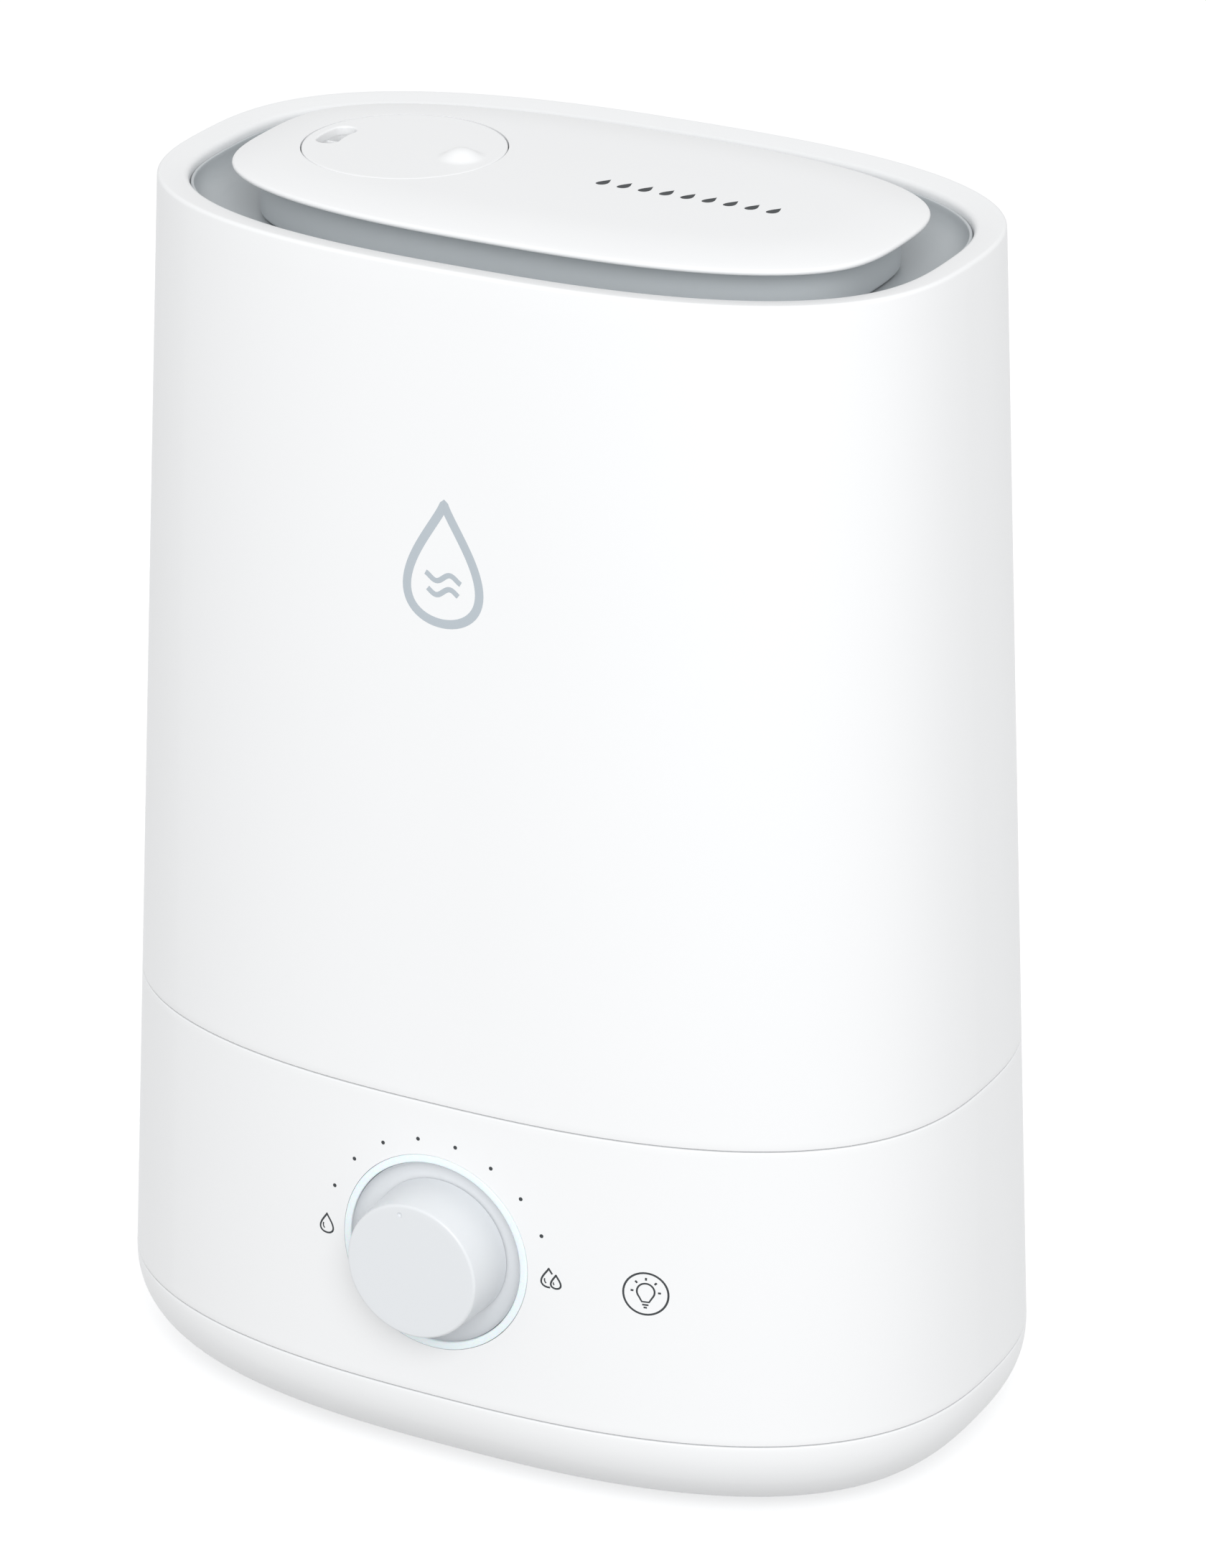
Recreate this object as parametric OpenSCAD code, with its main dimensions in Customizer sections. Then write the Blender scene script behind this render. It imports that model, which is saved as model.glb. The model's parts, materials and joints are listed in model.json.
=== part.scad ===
// Ultrasonic cool mist humidifier, top filled, free standing.
// Millimetres. +Z is up, the front with the knob faces -Y, and X runs to the right.
// The part stands on Z = 0, with the origin at the bottom centre of its bounding box.

/* [Body] */
// Width of the body where it is widest, just above the bottom pan
body_w = 227; // [224:1:230]
// Depth of the body where it is widest
body_d = 147.8; // [146:0.2:150]
// Squareness of the oval plan, where 2 is an ellipse
oval_power = 2.55; // [2.5:0.05:2.6]
// Inward lean of the outer walls, in degrees
draft = 2.4; // [2.3:0.05:2.5]
// Thickness of the moulded walls
wall = 2.5; // [2.4:0.1:2.6]
// Height of the seam between the bottom pan and the base shell
pan_z = 24; // [23.8:0.1:24.2]
// Height of the seam between the base and the tank
seam_z = 100.2; // [100:0.1:100.4]
// Height of the tank's rim
rim_z = 304; // [303:0.5:305]
// Radius of the pan's rounded underside, measured inwards
pan_round = 21.5; // [21:0.5:22]

/* [Rim and lid] */
// Width of the flat rim around the fill opening
rim_w = 7.6; // [7.4:0.1:7.8]
// Gap between the rim and the lid's edge
lid_gap = 10.1; // [9.8:0.1:10.3]
// Overhang of the lid beyond its neck
lid_overhang = 6.5; // [6:0.1:6.8]
// Height of the lid's flat top above the rim
lid_rise = 5.8; // [5.6:0.1:6]

/* [Nozzle] */
// Distance of the nozzle and the mist tube from the centre, towards the left
nozzle_x = 46; // [45.5:0.1:46.5]
// Radius of the turning nozzle disc
nozzle_r = 24.3; // [24:0.1:24.4]
// Radius of the arc on which the mist slot runs
slot_arc_r = 18.9; // [18.7:0.1:19]
// Width of the mist slot
slot_w = 5.6; // [5.2:0.1:5.8]
// Half of the angle between the mist slot's round ends, in degrees
slot_sweep = 12; // [11:0.5:14]
// Radius of the raised finger dome on the disc
dome_r = 4.6; // [4.4:0.1:4.8]
// Height of the finger dome
dome_h = 2.2; // [2:0.1:2.4]

/* [Knob] */
// Height of the knob's axis
knob_z = 62; // [61.5:0.1:62.5]
// Radius of the knob at its face
knob_face_r = 17.3; // [17:0.1:17.5]
// Radius of the knob at its back edge
knob_back_r = 18.05; // [17.9:0.05:18.2]
// Distance that the knob's face stands out from the wall
knob_reach = 11.4; // [11:0.1:12]
// Outer radius of the light ring around the knob
ring_r = 24.9; // [24.6:0.1:25]
// Width of the light ring's face
ring_w = 1.9; // [1.8:0.1:2]
// Direction of the knob's marker, in degrees from the right, anticlockwise
marker_angle = 101; // [0:0.1:180]

/* [Water and air] */
// Radius of the mist tube's bore
tube_r = 17; // [16.8:0.1:17.2]
// Distance of the tank valve from the centre, towards the right
valve_x = 50; // [49.5:0.5:50.5]
// Travel of the valve plunger between open and closed
valve_travel = 3.5; // [3.2:0.1:3.5]
// Travel of the water float
float_travel = 6; // [5:0.5:6]
// Outer size of the square fan frame
fan_size = 50; // [49:1:50]

/* [Hidden] */

$fn = 64;
eps = 0.01;          // overlap that keeps unions and cuts clean
ring_points = 64;    // corners of each oval outline
half_w = body_w / 2;
half_d = body_d / 2;
foot_h = 2;          // how far the rubber feet lift the pan

// ---- Heights, from the table up
pan_floor_z = foot_h;
pan_inside_z = pan_floor_z + wall;
board_z = 14;
basin_under_z = 70;
basin_floor_z = 72;
ledge_z = 94;        // ledge in the basin that carries the tank
tank_floor_z = 104;
tank_floor_t = 2.4;
funnel_floor_z = rim_z - 10.5;
rim_edge_z = rim_z + 1.3;                       // top of the rim's outer edge, from which it slopes inwards
lid_top_z = rim_z + lid_rise;
lid_under_z = rim_z + 2.2;

// ---- Plan positions
feet_at = [for (y = [-32, 32], x = [-68, 68]) [x, y]];   // front left, front right, back left, back right
boss_at = [for (x = [-52, 52], y = [-44, 44]) [x, y]];
fan_at = [8, 28];
tower_at = [8, 30];
float_at = [8, -30];
board_at = [-40, 7.5];
board_size = [84, 62, 1.6];
board_post_at = [for (x = [-38, 38], y = [-27, 27]) board_at + [x, y]];
lid_boss_at = [[50, -27.5], [50, 27.5], [-8, -31], [-8, 31]];
jack_z = 38;
key_angle = 13.2;    // direction of the wall where the light key is
key_at = [54.4, -63.94, knob_z];

// ---- Insets of the lid's pieces from the widest outline
rim_inset = inset(rim_z);
rim_in = rim_inset + rim_w;
lid_in = rim_in + lid_gap;
neck_in = lid_in + lid_overhang;

// ---- Knob positions along Y
wall_y = inset(knob_z) - half_d;                // outer face of the front wall at the knob's height
knob_face_y = wall_y - knob_reach;
knob_back_y = wall_y + 3;
dish_floor_y = wall_y + 3.4;
dish_back_y = wall_y + 5.4;

// Half the difference between the reach to the front and to the back, which centres the box on Y = 0
centre_y = (-knob_face_y - half_d) / 2;

// ==== Outline functions ====

// How far the outer wall lies inside the widest outline at height z
function inset(z) = (z - pan_z) * tan(draft);

function signed_pow(v, p) = sign(v) * pow(abs(v), p);

// A point of the body's oval at angle t, moved inwards by d along the outline's normal
function oval_point(t, d) =
    let (x = half_w * signed_pow(cos(t), 2 / oval_power),
         y = half_d * signed_pow(sin(t), 2 / oval_power),
         nx = signed_pow(x / half_w, oval_power - 1) / half_w,
         ny = signed_pow(y / half_d, oval_power - 1) / half_d,
         n = norm([nx, ny]))
    [x - d * nx / n, y - d * ny / n];

function oval_ring(d, z) =
    [for (i = [0 : ring_points - 1]) let (p = oval_point(360 * i / ring_points, d)) [p.x, p.y, z]];

// Triangles that join ring a to ring b, facing outwards when b follows a anticlockwise
function band(a, b) =
    [for (i = [0 : ring_points - 1])
        let (j = (i + 1) % ring_points, p = a * ring_points, q = b * ring_points)
        each [[p + i, q + i, q + j], [p + i, q + j, p + j]]];

// An arc of the pan's section, r inwards and h high, from angle a0 to a1 in n steps
function pan_arc(r, h, a0, a1, n) =
    [for (i = [0 : n]) let (t = a0 + (a1 - a0) * i / n)
        [pan_round - r * cos(t), pan_z - 1.5 - h * sin(t)]];

// ==== Building blocks ====

// A closed section of [inset, z] points, swept round the oval
module oval_hoop(section) {
    n = len(section);
    polyhedron(
        points = [for (s = section) each oval_ring(s[0], s[1])],
        faces = [for (k = [0 : n - 1]) each band(k, (k + 1) % n)],
        convexity = 6);
}

// An open section of [inset, z] points, swept round the oval and closed flat at both ends
module oval_bowl(section) {
    n = len(section);
    last = (n - 1) * ring_points;
    polyhedron(
        points = [for (s = section) each oval_ring(s[0], s[1])],
        faces = concat(
            [for (k = [0 : n - 2]) each band(k, k + 1)],
            [[for (i = [0 : ring_points - 1]) i]],
            [[for (i = [ring_points - 1 : -1 : 0]) last + i]]),
        convexity = 6);
}

// A tube between heights z0 and z1
module tube(r_out, r_in, z0, z1) {
    translate([0, 0, z0]) difference() {
        cylinder(r = r_out, h = z1 - z0);
        translate([0, 0, -1]) cylinder(r = r_in, h = z1 - z0 + 2);
    }
}

module rod(r, z0, z1) {
    translate([0, 0, z0]) cylinder(r = r, h = z1 - z0);
}

module block(size, z0) {
    translate([-size.x / 2, -size.y / 2, z0]) cube(size);
}

// Turns children so that their +Z points out of the front, at the knob's axis
module on_knob_axis() {
    translate([0, 0, knob_z]) rotate([90, 0, 0]) children();
}

// As above, but square to the leaning wall, with Z = 0 on its outer face
module on_front_wall() {
    translate([0, wall_y, knob_z]) rotate([90 - draft, 0, 0]) children();
}

// Turns children so that their +Z points out of the back, at the power inlet
module on_jack_axis() {
    translate([0, 0, jack_z]) rotate([-90, 0, 0]) children();
}

module at_each(places) {
    for (p = places) translate([p.x, p.y, 0]) children();
}

// A pan-head screw pointing up, its head's underside at z
module screw(z, shank_r, shank_l, head_r, head_h) {
    rod(shank_r, z - eps, z + shank_l);
    difference() {
        rod(head_r, z - head_h, z);
        translate([-head_r * 0.6, -0.4, z - head_h - eps]) cube([head_r * 1.2, 0.8, 0.9]);
        translate([-0.4, -head_r * 0.6, z - head_h - eps]) cube([0.8, head_r * 1.2, 0.9]);
    }
}

// A wire of radius r along a list of points, with square-cut ends
module wire(route, r, sides = 8) {
    n = len(route);
    function along(i) = route[min(i + 1, n - 1)] - route[max(i - 1, 0)];
    function unit(v) = v / norm(v);
    function side_of(v) = unit(cross(v, abs(v.z) > 0.9 * norm(v) ? [1, 0, 0] : [0, 0, 1]));
    points = [for (i = [0 : n - 1])
        let (t = unit(along(i)), u = side_of(t), v = cross(t, u))
        each [for (k = [0 : sides - 1]) let (a = 360 * k / sides) route[i] + r * (cos(a) * u + sin(a) * v)]];
    faces = concat(
        [for (i = [0 : n - 2], k = [0 : sides - 1])
            let (j = (k + 1) % sides, a = i * sides, b = (i + 1) * sides)
            each [[a + k, b + k, b + j], [a + k, b + j, a + j]]],
        [[for (k = [0 : sides - 1]) k]],
        [[for (k = [sides - 1 : -1 : 0]) (n - 1) * sides + k]]);
    polyhedron(points = points, faces = faces, convexity = 4);
}

// A smooth run of points through hand-picked ones
function smooth(p, steps = 5) =
    [for (i = [0 : len(p) - 2], k = [0 : steps - 1])
        let (t = k / steps, a = p[max(i - 1, 0)], b = p[i], c = p[i + 1], d = p[min(i + 2, len(p) - 1)])
        0.5 * (2 * b + (c - a) * t + (2 * a - 5 * b + 4 * c - d) * t * t
            + (3 * b - a - 3 * c + d) * t * t * t),
     p[len(p) - 1]];

// ==== Base: casings ====

module base_shell() {
    boss_out = half_d - inset(jack_z) - wall + 0.4;
    color("whitesmoke") difference() {
        union() {
            oval_hoop([
                [0.3, pan_z + 0.2], [0, pan_z + 0.7],
                [inset(seam_z - 0.6), seam_z - 0.6], [inset(seam_z) + 0.4, seam_z],
                [inset(seam_z) + wall - 0.2, seam_z], [inset(seam_z - 1) + wall, seam_z - 1],
                [wall, pan_z + 0.2]
            ]);
            on_jack_axis() rod(9.5, boss_out - 4.8, boss_out);
        }
        on_front_wall() translate([0, 0, -9]) cylinder(r = ring_r + 0.15, h = 12);
        on_jack_axis() rod(4.15, 60, 80);
        on_jack_axis() rod(6.2, 71.6, 80);
    }
}

module pan_boss_holes() {
    at_each(boss_at) {
        rod(1.85, pan_floor_z - 1, 31);
        rod(3.6, pan_floor_z - 1, 18);
    }
}

module bottom_pan() {
    outer = pan_arc(pan_round, 21.2, 75, 0, 4);
    inner = pan_arc(pan_round - wall, 21.2 - wall, 0, 72, 3);
    slots = 11;
    color("whitesmoke") difference() {
        union() {
            oval_bowl(concat(
                [[pan_round - 4.6, pan_floor_z]], outer,
                [[0, pan_z - 0.6], [0.3, pan_z - 0.1], [2.75, pan_z - 0.1],
                 [2.9, pan_z + 3.5], [4.5, pan_z + 3.5]],
                inner, [[pan_round - 4, pan_inside_z]]));
            at_each(boss_at) rod(5.2, pan_inside_z - 1, 28);
            at_each(board_post_at) rod(3.4, pan_inside_z - 1, board_z);
        }
        pan_boss_holes();
        at_each(board_post_at) rod(1.25, pan_inside_z, board_z + 1);
        at_each(feet_at) rod(8.15, pan_floor_z - 1, pan_floor_z + 1);
        for (i = [0 : slots - 1])
            translate([fan_at.x + (i - (slots - 1) / 2) * 4.6 - 1.3, fan_at.y - 19, 0])
                cube([2.6, 38, 10]);
    }
}

module rubber_foot(place) {
    color("dimgray") translate([place.x, place.y, 0]) {
        rotate_extrude() polygon([
            [0, 0], [7, 0], [7.7, 0.4], [8, 1.1], [8, foot_h + 0.9], [0, foot_h + 0.9]]);
    }
}

module foot_front_left() { rubber_foot(feet_at[0]); }
module foot_front_right() { rubber_foot(feet_at[1]); }
module foot_back_left() { rubber_foot(feet_at[2]); }
module foot_back_right() { rubber_foot(feet_at[3]); }

module pan_screws() {
    color("silver") at_each(boss_at) screw(17.9, 1.75, 26, 3.3, 2.2);
}

// ==== Base: basin ====

module basin_tray() {
    color("gainsboro") difference() {
        union() {
            oval_bowl([
                [12.8, basin_under_z], [12.2, ledge_z - 2.2], [5.75, ledge_z - 2],
                [5.75, seam_z - 0.4], [7.75, seam_z - 0.4], [7.75, ledge_z],
                [14.2, ledge_z - 0.2], [14.8, basin_floor_z]
            ]);
            translate([-nozzle_x, 0, 0]) {
                rod(27, 58, basin_under_z + 1);
                for (a = [90, 210, 330]) rotate(a) translate([16.5, 0, 0]) rod(3, 54.7, 58.5);
            }
            translate([tower_at.x, tower_at.y, 0]) block([30, 20, 27], basin_under_z);
            translate([float_at.x, float_at.y, 0]) rod(3, basin_under_z, 90.5);
            translate([valve_x, 0, 0]) {
                rod(3.4, basin_under_z, 80.2);
                for (a = [0, 90]) rotate(a) block([16, 1.6, 5], basin_floor_z - 1);
            }
            at_each(boss_at) rod(4.2, 29, basin_under_z + 1);
        }
        translate([-nozzle_x, 0, 0]) {
            rod(24.5, 60, 80);
            rod(11, 50, 61);
            for (a = [90, 210, 330]) rotate(a) translate([16.5, 0, 0]) rod(1.3, 54, 59);
        }
        translate([tower_at.x, tower_at.y, 0]) block([26, 16, 40], basin_under_z - 1);
        translate([float_at.x, float_at.y, 0]) rod(1.6, basin_under_z - 1, 87);
        at_each(boss_at) rod(1.8, 28, 46);
    }
}

// ==== Base: mist maker ====

module piezo_disc() {
    color("silver") translate([-nozzle_x, 0, 0]) {
        rod(10, 55.7, 56.7);
        tube(9.2, 7.6, 56.7 - eps, 56.95);
    }
}

module piezo_gasket() {
    color("white") translate([-nozzle_x, 0, 0]) difference() {
        rod(13.4, 54.6, 57.9);
        rod(8.6, 54, 59);
        rod(10.1, 55.6, 57.1);
    }
}

module piezo_clamp() {
    color("lightgray") translate([-nozzle_x, 0, 0]) difference() {
        union() {
            rod(20, 52.2, 54.5);
            for (x = [-14 : 4 : 14]) translate([x, 0, 0]) block([1.4, 2 * sqrt(400 - 14 * 14), 8.5], 44);
        }
        rod(7.5, 43, 55);
        for (a = [90, 210, 330]) rotate(a) translate([16.5, 0, 0]) {
            rod(1.45, 43, 55);
            rod(3.2, 43, 52.2);
        }
    }
}

module piezo_screws() {
    color("dimgray") translate([-nozzle_x, 0, 0])
        for (a = [90, 210, 330]) rotate(a) translate([16.5, 0, 0]) screw(52.1, 1.25, 6, 2.5, 1.6);
}

// ==== Base: water float ====

module water_float() {
    color("lightblue") translate([float_at.x, float_at.y, 0]) difference() {
        rotate_extrude() polygon([
            [3.4, 73], [9.2, 73], [10, 73.8], [10, 81.2], [9.2, 82], [3.4, 82]]);
        tube(6.6, 4.2, 72, 76.2);
    }
}

module float_magnet() {
    color("dimgray") translate([float_at.x, float_at.y, 0]) tube(6.5, 4.3, 73.1, 76.1);
}

module float_clip() {
    color("white") translate([float_at.x, float_at.y, 0]) difference() {
        rod(5.2, 88.4, 91.4);
        rod(3.05, 88, 90.55);
    }
}

module reed_switch() {
    color("seagreen") translate([float_at.x, float_at.y, 0]) {
        rod(1.3, 66, 84);
        rod(0.4, 62, 86.5);
    }
}

// ==== Base: fan ====

fan_low_z = 50.5;
fan_high_z = 65.5;
fan_hole_at = [for (x = [-1, 1], y = [-1, 1]) [x * fan_size * 0.4, y * fan_size * 0.4]];

module fan_frame() {
    color("black") translate([fan_at.x, fan_at.y, 0]) difference() {
        union() {
            difference() {
                block([fan_size, fan_size, fan_high_z - fan_low_z], fan_low_z);
                rod(fan_size / 2 - 1.3, fan_low_z - 1, fan_high_z + 1);
            }
            rod(11, fan_low_z, fan_low_z + 1.6);
            for (a = [45, 165, 285]) rotate(a)
                translate([9, -1.5, fan_low_z]) cube([15.5, 3, 1.6]);
            rod(2.4, fan_low_z, 60);
        }
        at_each(fan_hole_at) rod(1.9, fan_low_z - 1, fan_high_z + 1);
    }
}

module fan_rotor() {
    blades = 7;
    color("dimgray") translate([fan_at.x, fan_at.y, 0]) {
        tube(11, 9.2, 53, 64.6);
        tube(11, 2.5, 62.6, 64.6);
        tube(4.4, 2.5, 55, 63);
        for (i = [0 : blades - 1]) rotate(i * 360 / blades)
            translate([10.4, 0, 58.8]) rotate([38, 0, 0]) translate([0, -0.6, -6]) cube([12.2, 1.2, 12]);
    }
}

module fan_duct() {
    color("gainsboro") translate([fan_at.x, fan_at.y, 0]) difference() {
        block([fan_size + 4, fan_size + 4, 4], 65.7);
        rod(fan_size / 2 - 1.3, 65, 68);
        translate(tower_at - fan_at) block([26, 16, 10], 64);
        at_each(fan_hole_at) rod(1.5, 65, 69);
    }
}

module fan_screws() {
    color("silver") translate([fan_at.x, fan_at.y, 0])
        at_each(fan_hole_at) screw(fan_low_z - 0.1, 1.45, 18, 3, 1.8);
}

// ==== Base: electronics ====

module main_board() {
    color("darkgreen") translate([board_at.x, board_at.y, 0]) difference() {
        block(board_size, board_z);
        translate([-board_at.x, -board_at.y, 0]) at_each(board_post_at) rod(1.6, board_z - 1, board_z + 3);
    }
}

board_top = board_z + board_size.z;

module heat_sink() {
    color("lightgray") translate([-58, 30, 0]) {
        translate([0, -5.5, 0]) block([32, 3, 26], board_top + 0.1);
        for (i = [0 : 6]) translate([-15 + i * 5, 0, 0]) block([1.4, 8.2, 26], board_top + 0.1);
    }
}

module power_transistor() {
    color("dimgray") translate([-58, 20.7, 0]) {
        block([10.2, 4.4, 9.5], board_top + 4);
        translate([0, 1.6, 0]) block([10.2, 1.2, 6], board_top + 13);
        for (x = [-2.5, 0, 2.5]) translate([x, 0, 0]) block([0.9, 0.6, 4.2], board_top + 0.05);
    }
}

module driver_coil() {
    color("sienna") translate([-66, 0, board_top + 0.1]) {
        rotate_extrude() translate([6.5, 4.2]) circle(r = 3.6);
        cylinder(r = 2.4, h = 1.2);
        for (a = [0 : 45 : 315]) rotate(a) translate([0, -0.5, 0]) cube([6.5, 1, 1.2]);
    }
}

capacitors = [[-20, -12, 5, 16], [-32, -14, 5, 16], [-20, 2, 4, 12], [-9, 16, 3.2, 9]];

module board_capacitors() {
    color("black") for (c = capacitors) translate([c[0], c[1], board_top + 0.1]) difference() {
        cylinder(r = c[2], h = c[3]);
        translate([0, 0, c[3] * 0.12]) tube(c[2] + 1, c[2] - 0.35, 0, 0.8);
    }
}

connectors = [[-46, -18, 0], [-61, -17.5, 0], [-6, -6, 90], [-14, 34, 0]];

module board_connectors() {
    color("ivory") for (c = connectors) translate([c[0], c[1], board_top + 0.1]) rotate(c[2]) difference() {
        translate([-5, -3, 0]) cube([10, 6, 7]);
        translate([-4, -2, 2]) cube([8, 4, 6]);
    }
}

module board_screws() {
    color("silver") at_each(board_post_at) translate([0, 0, board_top + 0.05]) mirror([0, 0, 1])
        screw(0, 1.2, 8, 2.6, 1.8);
}

module control_board() {
    color("darkgreen") on_knob_axis() difference() {
        translate([-38, 42 - knob_z, 55.4]) cube([76, 27, 1.6]);
        for (x = [-3, 0, 3]) translate([x, -6, 50]) cylinder(r = 0.8, h = 10);
    }
}

module potentiometer() {
    color("silver") on_knob_axis() {
        rod(7.8, 57.1, -dish_back_y - 0.05);
        rod(3.9, -dish_back_y - 0.1, -dish_floor_y + 2.2);
        for (x = [-3, 0, 3]) translate([x, -6, 0]) rod(0.6, 54.2, 57.3);
    }
}

module shaft_section(r, flat) {
    difference() {
        circle(r = r);
        translate([flat, -r - 1]) square([r, 2 * r + 2]);
    }
}

module pot_shaft() {
    color("gold") on_knob_axis() rotate(marker_angle)
        translate([0, 0, -dish_floor_y + 2.3])
            linear_extrude(height = knob_reach - 4.9) shaft_section(3, 1.6);
}

module pot_nut() {
    color("silver") on_knob_axis() difference() {
        translate([0, 0, -dish_floor_y + 0.05]) cylinder(r = 5.8, h = 2, $fn = 6);
        rod(3.95, 60, 90);
    }
}

module knob() {
    face = -knob_face_y;
    back = -knob_back_y;
    color("whitesmoke") on_knob_axis() rotate(marker_angle) difference() {
        union() {
            rotate_extrude() polygon([
                [knob_back_r - 1.8, back], [knob_back_r, back], [knob_face_r, face - 0.8],
                [knob_face_r - 0.25, face - 0.25], [knob_face_r - 0.8, face], [0, face],
                [0, face - 2], [knob_face_r - 2, face - 2]]);
            rod(5.2, -dish_floor_y + 3.4, face - 2 + eps);
        }
        translate([0, 0, 60]) linear_extrude(height = face - 62.4) shaft_section(3.06, 1.66);
        translate([14.7, 0, face + 0.3]) sphere(r = 0.8);
    }
}

module knob_dish() {
    color("white") on_knob_axis() difference() {
        rotate_extrude() polygon([
            [4.05, -dish_floor_y], [18.7, -dish_floor_y], [19.5, -dish_floor_y + 0.3],
            [ring_r - ring_w - 0.7, -wall_y - 0.25], [ring_r - ring_w - 0.45, -wall_y - 0.2],
            [ring_r - ring_w - 0.45, -wall_y - 2.5],
            [21, -dish_back_y], [4.05, -dish_back_y]]);
        for (a = [0 : 120 : 240]) rotate(a + 30) translate([12, 0, 0]) rod(1.2, 60, 80);
    }
}

module light_ring() {
    color("azure") on_front_wall() tube(ring_r, ring_r - ring_w, -3.6, 0.25);
}

module led_board() {
    color("darkgreen") on_knob_axis() {
        tube(24.2, 16, -dish_back_y - 1.6, -dish_back_y - 0.2);
        for (a = [15 : 30 : 345]) rotate(a) translate([22.8, 0, 0])
            block([1.6, 2.6, 0.9], -dish_back_y - 0.2 - eps);
    }
}

module on_light_key() {
    translate(key_at) rotate([0, 0, key_angle]) rotate([90, 0, 0]) children();
}

module touch_electrode() {
    color("goldenrod") on_light_key() {
        rod(6.5, -0.8, 0);
        rod(1.2, -6.9, -0.8 + eps);
    }
}

module touch_board() {
    color("darkgreen") on_light_key() block([16, 14, 1.2], -8.2);
}

module power_jack() {
    color("black") on_jack_axis() {
        difference() {
            union() {
                rod(4, 59, 72);
                rod(5.8, 71.7, 73);
            }
            rod(3.2, 63, 80);
        }
        rod(1.25, 62.9, 72);
        for (a = [0, 120, 240]) rotate(a) translate([2, 0, 0]) block([0.8, 2, 4.1], 55);
    }
}

module jack_nut() {
    color("silver") on_jack_axis() difference() {
        translate([0, 0, 63.9]) cylinder(r = 6, h = 2, $fn = 6);
        rod(4.05, 60, 70);
    }
}

transducer_route = [
    [-46, 6, 49], [-46, 15, 47.5], [-46, 18, 46.5], [-56, 20, 44], [-74, 16, 40], [-82, 4, 34],
    [-76, -10, 30], [-64, -17, 27], [-61, -17.5, 23]];
fan_route = [[-17.4, 24, 53], [-21, 22, 52], [-22, 14, 44], [-14, 0, 36], [-7, -6, 28], [-6, -6, 23]];
inlet_route = [[0, 54.4, 38], [-3, 50, 37], [-12, 44, 32], [-14, 37, 28], [-14, 34, 23]];
control_route = [[-20, -54.6, 46], [-22, -50, 44], [-34, -36, 38], [-44, -22, 30], [-46, -18, 23]];

module transducer_lead() { color("firebrick") wire(smooth(transducer_route), 1.1); }
module fan_lead() { color("black") wire(smooth(fan_route), 1); }
module inlet_lead() { color("firebrick") wire(smooth(inlet_route), 1.2); }
module control_lead() { color("white") wire(smooth(control_route), 1.1); }

// ==== Tank ====

module tank_shell() {
    low = seam_z + 0.4;
    under = rim_z - 6;
    color("whitesmoke") oval_hoop([
        [inset(low) + 0.3, low], [inset(low + 0.6), low + 0.6],
        [inset(rim_edge_z - 1), rim_edge_z - 1], [rim_inset + 0.3, rim_edge_z - 0.3],
        [rim_inset + 1, rim_edge_z], [rim_in - 1.6, rim_z + 0.5],
        [rim_in - 0.5, rim_z], [rim_in, rim_z - 1.1], [rim_in, under],
        [inset(under) + wall, under], [inset(low) + wall, low]
    ]);
}

// The funnel's upper part, which clips under the rim and curves in to the channel round the lid
module fill_funnel() {
    top = rim_z - 1.4;
    flange = rim_z - 6.2;
    clip_in = inset(flange) + wall + 0.35;
    color("lightgray") oval_hoop([
        [clip_in, flange - 2.2], [clip_in, flange], [rim_in + 0.3, flange], [rim_in + 0.3, top],
        [rim_in + 1.1, top], [rim_in + 1.1, top - 1.1], [rim_in + 1.53, top - 3.24],
        [rim_in + 2.74, top - 5.06], [rim_in + 4.56, top - 6.27], [rim_in + 6.7, top - 6.7],
        [rim_in + 6.7, top - 8.7], [rim_in + 3.8, top - 8.2], [rim_in + 1.6, top - 7]
    ]);
}

// The funnel's lower part, which meets the upper one in a line and runs in to the fill hole
module funnel_floor() {
    low = funnel_floor_z;
    start = rim_in + 6.75;
    color("lightgray") oval_hoop([
        [start, rim_z - 8.1], [neck_in - 2, low + 0.7], [39, low], [39, low - 4.6], [37.2, low - 4.6],
        [37.2, low - 2], [start, rim_z - 10.1]
    ]);
}

module tank_floor() {
    low = tank_floor_z;
    side = inset(low + tank_floor_t) + wall + 0.1;
    color("gainsboro") difference() {
        union() {
            oval_bowl([
                [10.6, low], [10.6, ledge_z + 0.4], [8.6, ledge_z + 0.4], [8.6, low],
                [side, low], [side, low + tank_floor_t]
            ]);
            translate([valve_x, 0, 0]) rod(21.5, 94, low + 1);
        }
        translate([-nozzle_x, 0, 0]) rod(tube_r + 2.15, low - 1, low + 4);
        translate([valve_x, 0, 0]) rod(19, 93, low + 4);
    }
}

module mist_tube() {
    flange = tank_floor_z + tank_floor_t + 1.5;
    color("gainsboro") translate([-nozzle_x, 0, 0]) {
        tube(tube_r + 2, tube_r, 92, rim_z - 15);
        tube(tube_r + 7, tube_r + 1, flange, flange + 2.2);
    }
}

module tube_seal() {
    low = tank_floor_z + tank_floor_t;
    color("white") translate([-nozzle_x, 0, 0]) tube(tube_r + 6.6, tube_r + 2.2, low + 0.02, low + 1.48);
}

// ==== Tank valve ====

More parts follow.
